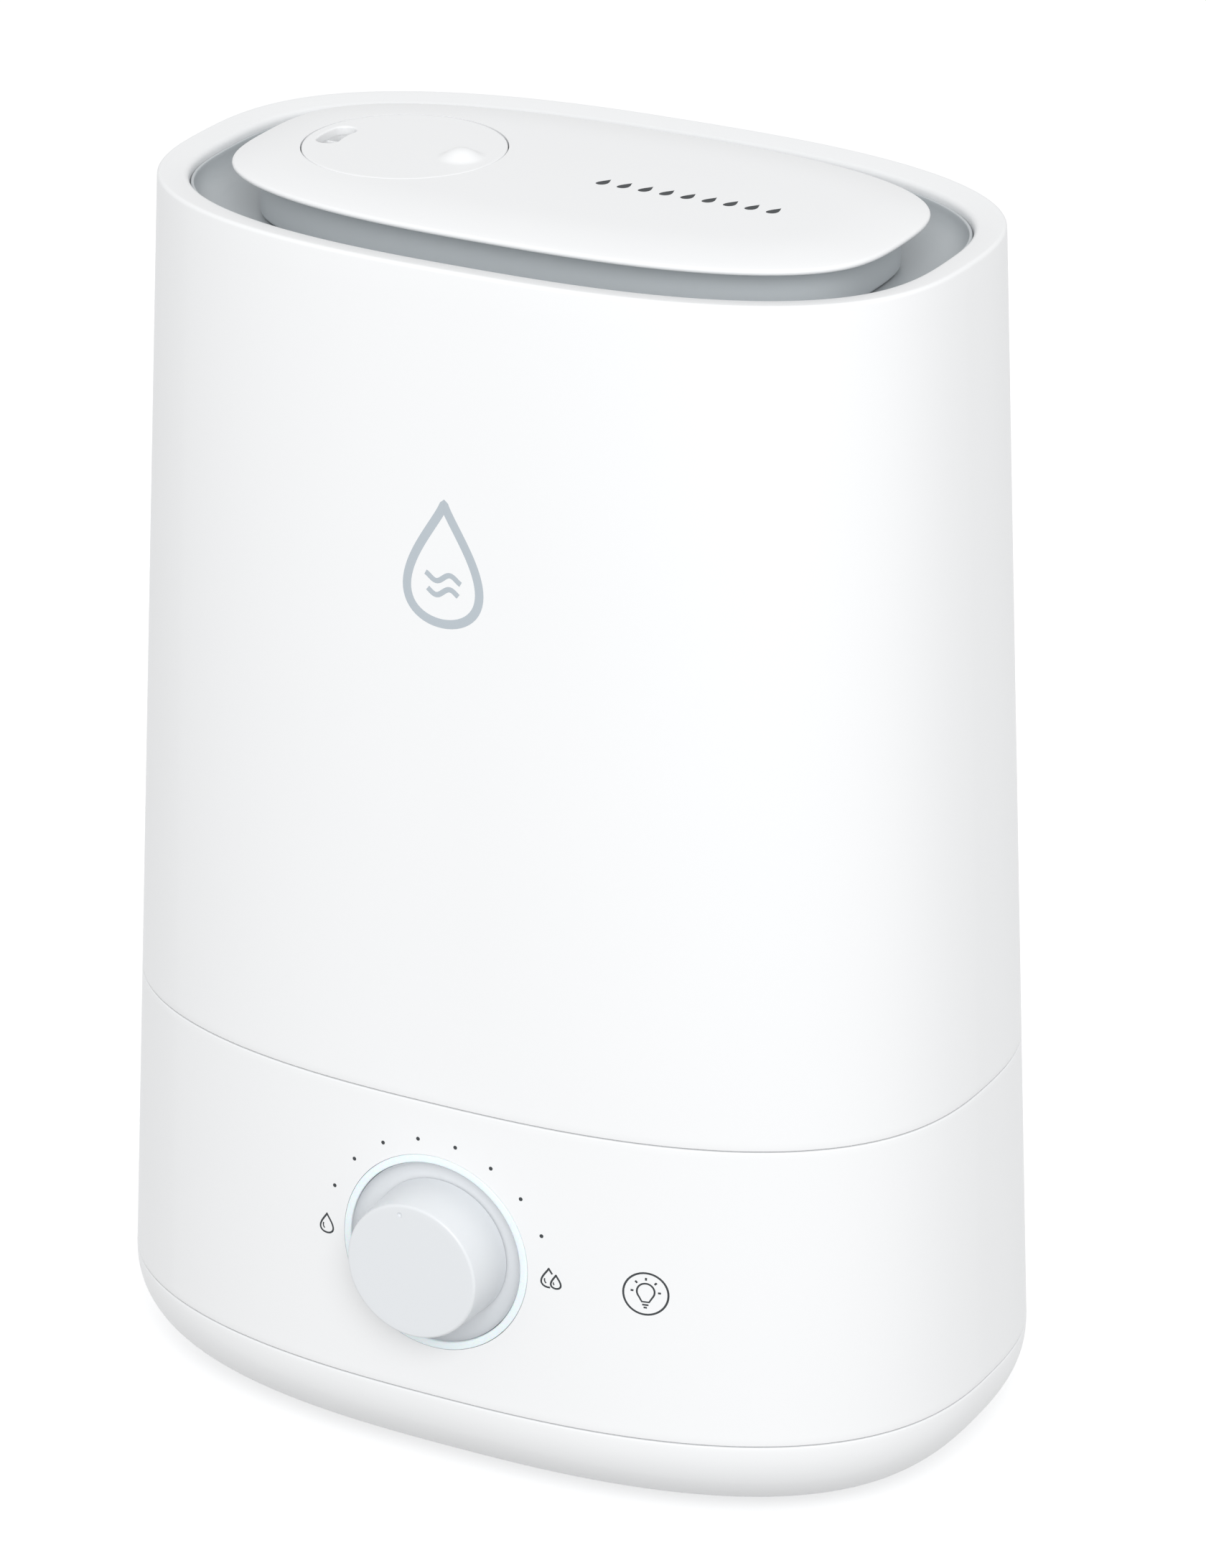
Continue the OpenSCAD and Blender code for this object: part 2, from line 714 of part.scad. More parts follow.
module valve_cap() {
    ribs = 24;
    color("white") translate([valve_x, 0, 0]) {
        difference() {
            union() {
                rod(24.6, 90, 103.6);
                for (i = [0 : ribs - 1]) rotate(i * 360 / ribs) translate([24.4, 0, 0]) rod(0.8, 90.6, 103);
            }
            rod(21.8, 92.2, 110);
            rod(10, 80, 100);
        }
        tube(4.2, 2.3, 90, 92.2);
        for (a = [30, 150, 270]) rotate(a) translate([3.6, -0.9, 90]) cube([7, 1.8, 2.2]);
    }
}

module valve_gasket() {
    color("dimgray") translate([valve_x, 0, 0]) tube(21.4, 17, 92.25, 93.95);
}

module valve_plunger() {
    color("skyblue") translate([valve_x, 0, 0]) {
        rod(2, 82, 98);
        rod(12.6, 97, 98.6);
        rod(4.4, 82.6, 84.4);
        rod(3, 80.6, 82.7);
    }
}

module valve_washer() {
    color("dimgray") translate([valve_x, 0, 0]) tube(12, 2.1, 96, 96.95);
}

module valve_spring() {
    turns = 4;
    low = 84.9;
    high = 89.5;
    steps = turns * 14;
    color("silver") translate([valve_x, 0, 0])
        wire([for (i = [0 : steps])
            [3.1 * cos(360 * turns * i / steps), 3.1 * sin(360 * turns * i / steps),
             low + (high - low) * i / steps]], 0.38, 6);
}

// ==== Lid ====

module lid_cover() {
    top = lid_top_z;
    under = lid_under_z;
    color("whitesmoke") difference() {
        union() {
            oval_bowl([
                [lid_in + 7.5, under + 1.4], [lid_in + 4.5, under + 0.9], [lid_in + 2.5, under],
                [lid_in + 0.9, under], [lid_in + 0.2, under + 0.4], [lid_in, under + 0.9],
                [lid_in + 0.4, under + 1.5], [lid_in + 2.6, under + 2.2], [lid_in + 7, top - 0.6],
                [lid_in + 13, top - 0.15], [lid_in + 19, top]
            ]);
            translate([-nozzle_x, 0, 0]) {
                rod(27, rim_z - 12, lid_top_z - 2);
                rod(27, rim_z - 13.6, rim_z - 11.9);
            }
            at_each(lid_boss_at) rod(3.2, funnel_floor_z + 4.8, under + 1.8);
        }
        translate([-nozzle_x, 0, 0]) {
            rod(nozzle_r + 0.35, rim_z - 11.6, lid_top_z + 1);
            rod(tube_r, rim_z - 20, lid_top_z);
        }
        at_each(lid_boss_at) rod(1.3, funnel_floor_z + 4, under - 0.2);
    }
}

module lid_neck() {
    low = funnel_floor_z;
    color("lightgray") difference() {
        union() {
            oval_hoop([
                [neck_in, low + 0.8], [neck_in, lid_under_z + 1.2], [neck_in + 2, lid_under_z + 1.2],
                [neck_in + 2, low + 4.6], [neck_in + 6.2, low + 4.6], [neck_in + 6.2, low - 6.6],
                [neck_in + 4.4, low - 6.6], [neck_in + 4.4, low + 2.6], [neck_in + 2.2, low + 2.6],
                [neck_in + 2.2, low + 0.8]
            ]);
            at_each(lid_boss_at) rod(4.6, low + 2.6, low + 4.6);
        }
        at_each(lid_boss_at) {
            rod(1.5, low - 2, low + 8);
            rod(2.8, low - 7, low + 2.6 + eps);
        }
        translate([-nozzle_x, 0, 0]) rod(27.2, rim_z - 13.8, low + 5);
    }
}

module lid_screws() {
    color("silver") at_each(lid_boss_at) screw(funnel_floor_z + 2.5, 1.2, 8, 2.5, 1.6);
}

module nozzle_seal() {
    color("white") translate([-nozzle_x, 0, 0])
        tube(tube_r + 3.4, tube_r + 0.2, rim_z - 14.7, rim_z - 13.6);
}

// ==== Nozzle ====

function arc(r, a0, a1, n, c = [0, 0]) =
    [for (i = [0 : n]) let (t = a0 + (a1 - a0) * i / n) c + r * [cos(t), sin(t)]];

// The mist slot's outline, an arc with round ends, grown by g
module slot_outline(g) {
    end_r = slot_w / 2 + g;
    s = slot_sweep;
    low_end = slot_arc_r * [cos(180 + s), sin(180 + s)];
    high_end = slot_arc_r * [cos(180 - s), sin(180 - s)];
    polygon(concat(
        arc(slot_arc_r + end_r, 180 - s, 180 + s, 10),
        arc(end_r, 200 + s, 340 + s, 7, low_end),
        arc(slot_arc_r - end_r, 180 + s, 180 - s, 10),
        arc(end_r, 20 - s, 160 - s, 7, high_end)));
}

module nozzle_disc() {
    thick = 2.2;
    dome_ball = (dome_r * dome_r + dome_h * dome_h) / (2 * dome_h);
    color("whitesmoke") translate([-nozzle_x, 0, 0]) difference() {
        union() {
            rod(nozzle_r, lid_top_z - thick, lid_top_z);
            intersection() {
                translate([15.8, -1, lid_top_z + dome_h - dome_ball]) sphere(r = dome_ball);
                rod(nozzle_r, lid_top_z - 1, lid_top_z + 5);
            }
            translate([0, 0, lid_top_z - 8.5]) linear_extrude(height = 8) slot_outline(1);
        }
        translate([0, 0, lid_top_z - 10]) linear_extrude(height = 14) slot_outline(0);
    }
}

module nozzle_cup() {
    low = rim_z - 11.3;
    color("gainsboro") translate([-nozzle_x, 0, 0]) {
        tube(nozzle_r - 0.4, nozzle_r - 1.5, low, lid_top_z - 2.25);
        tube(nozzle_r - 0.4, tube_r - 1, low, low + 1.4);
    }
}

// ==== Placing ====

module place() {
    translate([0, centre_y, 0]) children();
}

place() base_shell();
place() bottom_pan();
place() foot_front_left();
place() foot_front_right();
place() foot_back_left();
place() foot_back_right();
place() pan_screws();
place() basin_tray();
place() piezo_disc();
place() piezo_gasket();
place() piezo_clamp();
place() piezo_screws();
place() water_float();
place() float_magnet();
place() float_clip();
place() reed_switch();
place() fan_frame();
place() fan_rotor();
place() fan_duct();
place() fan_screws();
place() main_board();
place() heat_sink();
place() power_transistor();
place() driver_coil();
place() board_capacitors();
place() board_connectors();
place() board_screws();
place() control_board();
place() potentiometer();
place() pot_shaft();
place() pot_nut();
place() knob();
place() knob_dish();
place() light_ring();
place() led_board();
place() touch_electrode();
place() touch_board();
place() power_jack();
place() jack_nut();
place() transducer_lead();
place() fan_lead();
place() inlet_lead();
place() control_lead();
place() tank_shell();
place() fill_funnel();
place() funnel_floor();
place() tank_floor();
place() mist_tube();
place() tube_seal();
place() valve_cap();
place() valve_gasket();
place() valve_spring();
place() valve_plunger();
place() valve_washer();
place() lid_cover();
place() lid_neck();
place() lid_screws();
place() nozzle_seal();
place() nozzle_disc();
place() nozzle_cup();
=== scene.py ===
"""Visible casings, knob, nozzle and marks of a top-filled cool mist humidifier, built round its CAD frame."""

import json
import math

import bmesh
import bpy
from mathutils import Matrix, Vector


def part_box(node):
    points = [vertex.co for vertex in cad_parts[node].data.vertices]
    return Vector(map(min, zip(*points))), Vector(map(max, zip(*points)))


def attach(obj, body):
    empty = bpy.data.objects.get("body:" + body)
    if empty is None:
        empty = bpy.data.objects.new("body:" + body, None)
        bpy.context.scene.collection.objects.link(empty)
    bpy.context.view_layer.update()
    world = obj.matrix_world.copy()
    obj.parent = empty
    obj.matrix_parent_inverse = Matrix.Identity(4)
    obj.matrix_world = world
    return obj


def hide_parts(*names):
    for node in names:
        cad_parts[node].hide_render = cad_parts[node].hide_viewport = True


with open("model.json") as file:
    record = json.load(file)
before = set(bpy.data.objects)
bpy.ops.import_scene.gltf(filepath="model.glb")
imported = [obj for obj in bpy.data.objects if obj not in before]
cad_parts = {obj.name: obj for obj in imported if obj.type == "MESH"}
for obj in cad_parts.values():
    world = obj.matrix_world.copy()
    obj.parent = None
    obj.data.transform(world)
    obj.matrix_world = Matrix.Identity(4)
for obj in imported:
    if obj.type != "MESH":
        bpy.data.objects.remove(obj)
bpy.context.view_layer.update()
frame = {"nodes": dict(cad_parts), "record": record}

bl_info = {
    "name": "Cool Mist Humidifier",
    "version": (1, 0, 0),
    "blender": (4, 5, 0),
    "location": "View3D > Sidebar > Humidifier",
    "description": "Builds the casings, lid, nozzle, knob and printed marks of a cool mist humidifier",
    "category": "Object",
}

MM = 0.001

# ---- Places read from the frame, in metres
SHELL_LOW, SHELL_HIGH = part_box("base_shell")
TANK_LOW, TANK_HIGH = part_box("tank_shell")
PAN_LOW, PAN_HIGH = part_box("bottom_pan")
FUNNEL_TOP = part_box("fill_funnel")[1][2]
FUNNEL_FLOOR_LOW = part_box("funnel_floor")[0][2]
LID_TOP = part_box("lid_cover")[1][2]
NECK_LOW, NECK_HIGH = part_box("lid_neck")
DISC_LOW, DISC_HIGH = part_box("nozzle_disc")
CUP_LOW, CUP_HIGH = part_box("nozzle_cup")
KNOB_LOW, KNOB_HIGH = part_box("knob")
RING_LOW, RING_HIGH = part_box("light_ring")
JACK_LOW, JACK_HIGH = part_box("power_jack")
KEY_LOW, KEY_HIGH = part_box("touch_electrode")
FAN_LOW, FAN_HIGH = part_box("fan_frame")
SCREWS_LOW, SCREWS_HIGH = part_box("pan_screws")


def middle(low, high, axis):
    return (low[axis] + high[axis]) / 2


HALF_WIDTH = (SHELL_HIGH[0] - SHELL_LOW[0]) / 2
HALF_DEPTH = (SHELL_HIGH[1] - SHELL_LOW[1]) / 2
CENTRE_Y = middle(SHELL_LOW, SHELL_HIGH, 1)
PAN_SEAM = SHELL_LOW[2] - 0.2 * MM
RIM_EDGE = TANK_HIGH[2]             # the rim's outer edge
RIM_TOP = RIM_EDGE - 1.3 * MM       # the rim's inner edge, towards which it slopes
KNOB_Z = middle(KNOB_LOW, KNOB_HIGH, 2)
RING_RADIUS = (RING_HIGH[0] - RING_LOW[0]) / 2
NOZZLE_X = middle(CUP_LOW, CUP_HIGH, 0)
NOZZLE_RADIUS = (DISC_HIGH[0] - DISC_LOW[0]) / 2
KEY_X = middle(KEY_LOW, KEY_HIGH, 0)
JACK_Z = middle(JACK_LOW, JACK_HIGH, 2)
LEDGE_TOP = NECK_LOW[2] + 11.2 * MM     # the ledge inside the lid's neck, which the lid's bosses stand on
LID_BOSSES = [(x * MM, CENTRE_Y + y * MM) for x, y in ((50, -27.5), (50, 27.5), (-8, -31), (-8, 31))]

RING_POINTS = 256        # corners of each oval outline
ROUND_POINTS = 128       # corners of each turned outline
SMOOTH_ANGLE = math.radians(32)
TURN, STATION = "turn", "station"       # where a swept corner stands round the ring and along the section

# ---- The view: degrees to the right of the front and above the table, and the lens in millimetres
VIEW_AZIMUTH, VIEW_ELEVATION = 28.11, 23.26
VIEW_DISTANCE, VIEW_LENS = 1618.3 * MM, 154.46
VIEW_SHIFT = (0.0164, -0.0201)
VIEW_HEIGHT = 164 * MM


# ==== Sizes and colours that a user would change ====


def length(name, text, value):
    return bpy.props.FloatProperty(
        name=name, description=text, default=value, min=0.0, unit="LENGTH", precision=5)


def angle(name, text, degrees):
    return bpy.props.FloatProperty(
        name=name, description=text, default=math.radians(degrees), subtype="ANGLE")


def colour(name, text, value):
    return bpy.props.StringProperty(name=name, description=text + ", as an sRGB hex value", default=value)


class HumidifierSizes(bpy.types.PropertyGroup):
    oval_power: bpy.props.FloatProperty(
        name="Oval Power", description="Squareness of the plan, where 2 is an ellipse", default=2.55, min=2.0)
    draft: angle("Draft", "Inward lean of the outer walls", 2.4)
    wall: length("Wall", "Thickness of the moulded walls", 2.5 * MM)
    seam_round: length("Seam Round", "Radius of the edges at the two seams", 0.35 * MM)
    rim_round: length("Rim Round", "Radius of the rim's outer edge", 0.9 * MM)
    rim_width: length("Rim Width", "Width of the rim from outside to inside", 7.6 * MM)
    pan_round: length("Pan Round", "Radius of the pan's underside", 21.5 * MM)
    lid_gap: length("Lid Gap", "Gap between the rim and the lid", 10.1 * MM)
    lid_overhang: length("Lid Overhang", "Overhang of the lid beyond its neck", 6.5 * MM)
    lid_crown: length("Lid Crown", "Fall of the lid's top at its edge", 2.0 * MM)
    lid_roll: length("Lid Roll", "Width over which the lid's top falls", 18.5 * MM)
    ring_width: length("Ring Width", "Width of the light ring's face", 1.9 * MM)
    slot_radius: length("Slot Radius", "Radius of the arc on which the mist slot runs", 18.9 * MM)
    slot_width: length("Slot Width", "Width of the mist slot", 5.6 * MM)
    slot_sweep: angle("Slot Sweep", "Half of the angle between the slot's round ends", 12)
    dome_radius: length("Dome Radius", "Radius of the finger dome on the nozzle", 4.6 * MM)
    dome_height: length("Dome Height", "Height of the finger dome", 2.2 * MM)
    marker_angle: angle("Marker Angle", "Direction of the knob's marker at rest, from the right", 101)
    scale_radius: length("Scale Radius", "Radius of the arc of printed dots over the knob", 30.7 * MM)
    key_radius: length("Key Radius", "Radius of the printed circle of the light key", 5.35 * MM)
    print_height: length("Print Height", "Thickness of the printed ink", 0.03 * MM)


class HumidifierColours(bpy.types.PropertyGroup):
    casing: colour("Casing", "Outer casings", "#F1F2F3")
    # The trim colour is darker than the casing as painted shade: it stands in for the shade in the knob's
    # recess
    trim: colour("Trim", "Knob and dish", "#E2E5E8")
    # The liner colour is a grey plastic, made darker still as painted shade for the gutter round the lid
    liner: colour("Liner", "Funnel and lid neck", "#C2C7CA")
    ink: colour("Ink", "Printed scale and symbols", "#3C4043")
    mark: colour("Mark", "Printed emblem on the tank", "#B7C0C7")
    ring: colour("Ring", "Light ring", "#F1F7FA")
    glow: colour("Glow", "Light from the ring", "#D3E6F5")


def sizes():
    return bpy.context.scene.humidifier_sizes


def colours():
    return bpy.context.scene.humidifier_colours


# ==== Finishes ====


def linear(hex_colour, alpha=1.0):
    """An sRGB hex colour as the linear values that shaders take"""
    channels = [int(hex_colour[i:i + 2], 16) / 255 for i in (1, 3, 5)]
    return [c / 12.92 if c <= 0.04045 else ((c + 0.055) / 1.055) ** 2.4 for c in channels] + [alpha]


def add_node(tree, kind, inputs=None, links=None, **settings):
    """Adds a node, sets its properties and input values, and links inputs to other nodes' outputs"""
    node = tree.nodes.new(kind)
    for name, value in settings.items():
        setattr(node, name, value)
    for name, value in (inputs or {}).items():
        node.inputs[name].default_value = value
    for name, (source, output) in (links or {}).items():
        tree.links.new(source.outputs[output], node.inputs[name])
    return node


def surface(name, hex_colour, roughness, shade=0.02, patch=40.0, grain=0.6, depth=0.004, spread=0.05,
            **shader):
    """A moulded, cast or printed surface.

    shade is the share by which the colour drifts over patches of patch millimetres, grain and depth
    are the texture's size and height in millimetres, and spread is how far the roughness drifts.
    """
    if name in bpy.data.materials:
        return bpy.data.materials[name]
    material = bpy.data.materials.new(name)
    material.use_nodes = True
    tree = material.node_tree
    tree.nodes.clear()
    place = add_node(tree, "ShaderNodeTexCoord")
    drift = add_node(tree, "ShaderNodeTexNoise", {"Scale": 1000 / patch, "Detail": 3.0},
                     {"Vector": (place, "Object")})
    base = linear(hex_colour)
    darker = [c * (1 - shade) for c in base[:3]] + [1.0]
    tint = add_node(tree, "ShaderNodeMix", {"A": darker, "B": base}, {"Factor": (drift, "Fac")},
                    data_type="RGBA")
    fine = add_node(tree, "ShaderNodeTexNoise", {"Scale": 1000 / grain, "Detail": 2.0, "Roughness": 0.6},
                    {"Vector": (place, "Object")})
    dull = add_node(tree, "ShaderNodeMapRange",
                    {"To Min": max(roughness - spread, 0.02), "To Max": min(roughness + spread, 1.0)},
                    {"Value": (drift, "Fac")})
    bump = add_node(tree, "ShaderNodeBump", {"Strength": 1.0, "Distance": depth * MM},
                    {"Height": (fine, "Fac")})
    skin = add_node(tree, "ShaderNodeBsdfPrincipled", shader, {
        "Base Color": (tint, "Result"), "Roughness": (dull, "Result"), "Normal": (bump, "Normal")})
    add_node(tree, "ShaderNodeOutputMaterial", None, {"Surface": (skin, "BSDF")})
    return material


def casing_abs():
    """Injection-moulded white ABS from a satin tool: an even, soft sheen with a faint spark-eroded grain"""
    return surface("casing_abs_satin", colours().casing, 0.36, shade=0.012, patch=60.0, grain=0.7,
                   depth=0.003, **{"IOR": 1.53, "Specular IOR Level": 0.45})


def knob_abs():
    """The same ABS from a finer tool, so that the knob and dish look smoother than the casing. Its colour is
    greyer than the casing's as painted shade, standing in for the shade in the recess where the knob sits
    """
    return surface("knob_abs_fine_satin_painted_shade", colours().trim, 0.3, shade=0.01, patch=25.0, grain=0.4,
                   depth=0.0015, **{"IOR": 1.53, "Specular IOR Level": 0.45})


def liner_abs():
    """Light grey ABS of the funnel and the lid's neck: smooth, and duller than the casing where water runs.
    Its grey is deepened as painted shade, standing in for the shade down in the gutter round the lid
    """
    return surface("liner_abs_grey_painted_shade", colours().liner, 0.42, shade=0.03, patch=30.0, grain=0.8, depth=0.003,
                   **{"IOR": 1.53, "Specular IOR Level": 0.4})


def basin_polypropylene():
    """Moulded polypropylene of the wet parts: cool, waxy and slightly see-through at its edges"""
    return surface("basin_polypropylene", "#DCE3E8", 0.38, shade=0.04, patch=22.0, grain=0.5, depth=0.004,
                   **{"IOR": 1.49, "Subsurface Weight": 0.1, "Subsurface Scale": 0.002})


def inner_abs():
    """Unpainted ABS as it leaves the tool: flat and a little yellow next to the casing"""
    return surface("inner_abs_natural", "#E6E6E1", 0.5, shade=0.04, patch=18.0, grain=0.5, depth=0.006,
                   **{"IOR": 1.53})


def black_pbt():
    """Glass-filled PBT of the fan and jack: matt charcoal with a coarse mottle from its fibres"""
    return surface("black_pbt_glass_filled", "#232527", 0.55, shade=0.25, patch=3.0, grain=0.35, depth=0.012,
                   **{"IOR": 1.57})


def float_polypropylene():
    """Tinted polypropylene of the float and valve plunger"""
    return surface("float_polypropylene_blue", "#9CC3D8", 0.35, shade=0.05, patch=14.0, grain=0.5,
                   depth=0.004, **{"IOR": 1.49, "Subsurface Weight": 0.1, "Subsurface Scale": 0.002})


def ring_polycarbonate():
    """Frosted polycarbonate light guide, lit from behind by cool white diodes"""
    return surface("ring_polycarbonate_frosted", colours().ring, 0.28, shade=0.03, patch=12.0, grain=0.5,
                   depth=0.002, **{"IOR": 1.58, "Subsurface Weight": 0.3, "Subsurface Scale": 0.003,
                                   "Emission Color": linear(colours().glow), "Emission Strength": 0.03})


def foot_rubber():
    """Moulded rubber: near black, matt, and dusty where it has been handled"""
    return surface("foot_rubber_moulded", "#4A4C4E", 0.8, shade=0.2, patch=4.0, grain=0.4, depth=0.02,
                   **{"IOR": 1.52, "Specular IOR Level": 0.3})


def silicone():
    """White silicone of the seals: milky and soft, with almost no shine"""
    return surface("silicone_white", "#EDEDEA", 0.6, shade=0.03, patch=8.0, grain=0.3, depth=0.004,
                   **{"IOR": 1.41, "Subsurface Weight": 0.2, "Subsurface Scale": 0.002})


def lead_pvc():
    """PVC insulation: dark red, glossy and a little uneven along its length"""
    return surface("lead_pvc_red", "#8E2421", 0.32, shade=0.15, patch=9.0, grain=0.6, depth=0.01,
                   **{"IOR": 1.54})


def zinc_steel():
    """Zinc-plated steel: bright grey with the cloudy bloom of plating"""
    return surface("zinc_plated_steel", "#C3C6C9", 0.28, shade=0.18, patch=2.5, grain=0.25, depth=0.004,
                   spread=0.1, **{"Metallic": 1.0})


def cast_aluminium():
    """Aluminium heat sinks: pale and satin, with fine draw marks"""
    return surface("aluminium_satin", "#C9CBCC", 0.4, shade=0.12, patch=3.0, grain=0.3, depth=0.01,
                   spread=0.1, **{"Metallic": 1.0})


def enamelled_copper():
    """Enamelled copper of the coil and touch pad: warm, with a varnish gloss"""
    return surface("enamelled_copper", "#C07A4A", 0.3, shade=0.2, patch=2.0, grain=0.4, depth=0.02,
                   spread=0.08, **{"Metallic": 1.0, "Coat Weight": 0.3})


def turned_brass():
    """Turned brass of the potentiometer's shaft"""
    return surface("turned_brass", "#CDA75B", 0.25, shade=0.1, patch=2.0, grain=0.2, depth=0.006,
                   **{"Metallic": 1.0})


def ferrite():
    """Sintered ferrite of the float's magnet: dark and granular"""
    return surface("sintered_ferrite", "#3A3A3C", 0.7, shade=0.25, patch=1.5, grain=0.2, depth=0.02,
                   **{"IOR": 2.0})


def board_laminate():
    """Solder mask on fibreglass laminate: deep green with a wet gloss and the weave just showing"""
    return surface("board_solder_mask", "#1F6A3B", 0.25, shade=0.25, patch=5.0, grain=0.5, depth=0.01,
                   **{"IOR": 1.5, "Coat Weight": 0.3})


def print_ink():
    """Pad-printed dark grey ink: flat, with a slightly broken edge of gloss"""
    return surface("pad_print_dark_grey", colours().ink, 0.55, shade=0.08, patch=2.0, grain=0.2, depth=0.002,
                   **{"IOR": 1.5, "Specular IOR Level": 0.3})


def mark_ink():
    """Pad-printed silver grey ink of the tank's emblem: a soft pearl shine"""
    return surface("pad_print_silver_grey", colours().mark, 0.4, shade=0.05, patch=9.0, grain=0.2,
                   depth=0.002, **{"IOR": 1.5, "Specular IOR Level": 0.4})


FINISH_OF_SLOT = {
    "white_casing": casing_abs, "white_trim": knob_abs, "grey_liner": liner_abs,
    "basin_plastic": basin_polypropylene, "inner_plastic": inner_abs, "black_plastic": black_pbt,
    "float_plastic": float_polypropylene, "light_diffuser": ring_polycarbonate, "rubber_feet": foot_rubber,
    "white_silicone": silicone, "wire_insulation": lead_pvc, "plated_steel": zinc_steel,
    "cast_aluminium": cast_aluminium, "copper_winding": enamelled_copper, "brass_shaft": turned_brass,
    "magnet_ferrite": ferrite, "circuit_board": board_laminate,
}


# ==== Outlines ====


def signed_power(value, power):
    return math.copysign(abs(value) ** power, value)


def oval_point(turn, inset):
    """A plan point of the body's oval, moved inwards square to the outline"""
    power = sizes().oval_power
    x = HALF_WIDTH * signed_power(math.cos(turn), 2 / power)
    y = HALF_DEPTH * signed_power(math.sin(turn), 2 / power)
    across = signed_power(x / HALF_WIDTH, power - 1) / HALF_WIDTH
    along = signed_power(y / HALF_DEPTH, power - 1) / HALF_DEPTH
    norm = math.hypot(across, along)
    return x - inset * across / norm, CENTRE_Y + y - inset * along / norm


def lean(z):
    """How far the leaning outer wall lies inside the widest outline at height z"""
    return (z - PAN_SEAM) * math.tan(sizes().draft)


def front_wall(x, z, proud=0.0):
    """Y of the point over x and z that stands proud of the front wall"""
    low, high = math.pi, 2 * math.pi
    inset = lean(z) - proud
    for _ in range(36):
        turn = (low + high) / 2
        if oval_point(turn, inset)[0] < x:
            low = turn
        else:
            high = turn
    return oval_point(low, inset)[1]


def arc(centre, radius, start, end, steps):
    """Section points on a round, from angle start to end in degrees, where 0 points along the first value"""
    turns = [math.radians(start + (end - start) * i / steps) for i in range(steps + 1)]
    return [(centre[0] + radius * math.cos(t), centre[1] + radius * math.sin(t)) for t in turns]


def on_oval(turn, section_point):
    inset, z = section_point
    return (*oval_point(turn, inset), z)


def on_nozzle(turn, section_point):
    radius, z = section_point
    return NOZZLE_X + radius * math.cos(turn), CENTRE_Y + radius * math.sin(turn), z


def on_knob(turn, section_point):
    """A point at a radius from the knob's axis, at distance out in front of the oval's centre"""
    radius, out = section_point
    return radius * math.cos(turn), CENTRE_Y - out, KNOB_Z + radius * math.sin(turn)


# ==== Making pieces ====


def deselect_all():
    if bpy.context.object and bpy.context.object.mode != "OBJECT":
        bpy.ops.object.mode_set(mode="OBJECT")
    bpy.ops.object.select_all(action="DESELECT")


def select_only(*pieces):
    deselect_all()
    for piece in pieces:
        piece.select_set(True)
    bpy.context.view_layer.objects.active = pieces[0]


def set_ring(mesh, place, point, station):
    """Moves the selected ring of corners to a section point"""
    turns, stations = mesh.verts.layers.float[TURN], mesh.verts.layers.float[STATION]
    for vert in mesh.verts:
        if vert.select:
            vert.co = place(vert[turns], point)
            vert[stations] = station


def swept_piece(name, section, place, count, closed=True):
    """Adds a ring and extrudes it through a section, as a potter pulls a wall.

    A closed section comes back to its first point. An open one is filled flat at both ends.
    """
    deselect_all()
    bpy.ops.mesh.primitive_circle_add(vertices=count, radius=1.0)
    piece = bpy.context.object
    piece.name = piece.data.name = name
    bpy.ops.object.mode_set(mode="EDIT")
    mesh = bmesh.from_edit_mesh(piece.data)
    turns = mesh.verts.layers.float.new(TURN)
    mesh.verts.layers.float.new(STATION)
    for vert in mesh.verts:
        vert[turns] = math.atan2(vert.co.y, vert.co.x)
    set_ring(mesh, place, section[0], 0)
    for station, point in enumerate(section[1:] + ([section[0]] if closed else []), start=1):
        bpy.ops.mesh.extrude_region_move()
        mesh = bmesh.from_edit_mesh(piece.data)
        set_ring(mesh, place, point, station)
    bmesh.update_edit_mesh(piece.data)
    if closed:
        bpy.ops.mesh.select_all(action="SELECT")
        bpy.ops.mesh.remove_doubles(threshold=1e-7)
    else:
        for end in (0, len(section) - 1):
            mesh = bmesh.from_edit_mesh(piece.data)
            stations = mesh.verts.layers.float[STATION]
            bpy.ops.mesh.select_all(action="DESELECT")
            for edge in mesh.edges:
                edge.select_set(all(vert[stations] == end for vert in edge.verts))
            bpy.ops.mesh.edge_face_add()
    bpy.ops.mesh.select_all(action="SELECT")
    bpy.ops.mesh.normals_make_consistent(inside=False)
    bpy.ops.object.mode_set(mode="OBJECT")
    for layer in (TURN, STATION):
        piece.data.attributes.remove(piece.data.attributes[layer])
    return piece


def cut_away(piece, *cutters):
    """Cuts shapes out of a piece and removes the cutters"""
    for cutter in cutters:
        select_only(piece)
        bpy.ops.object.modifier_add(type="BOOLEAN")
        modifier = piece.modifiers[-1]
        modifier.operation = "DIFFERENCE"
        modifier.solver = "EXACT"
        modifier.object = cutter
        bpy.ops.object.modifier_apply(modifier=modifier.name)
        bpy.data.objects.remove(cutter)


def rod_cutter(centre, radius, depth, rotation=(0.0, 0.0, 0.0), corners=96):
    deselect_all()
    bpy.ops.mesh.primitive_cylinder_add(
        vertices=corners, radius=radius, depth=depth, location=centre, rotation=rotation)
    return bpy.context.object


def join(pieces, name):
    """Makes one mesh piece of several, with its place in its mesh"""
    select_only(*pieces)
    if len(pieces) > 1:
        bpy.ops.object.join()
    piece = bpy.context.object
    piece.name = piece.data.name = name
    bpy.ops.object.transform_apply(location=True, rotation=True, scale=True)
    return piece


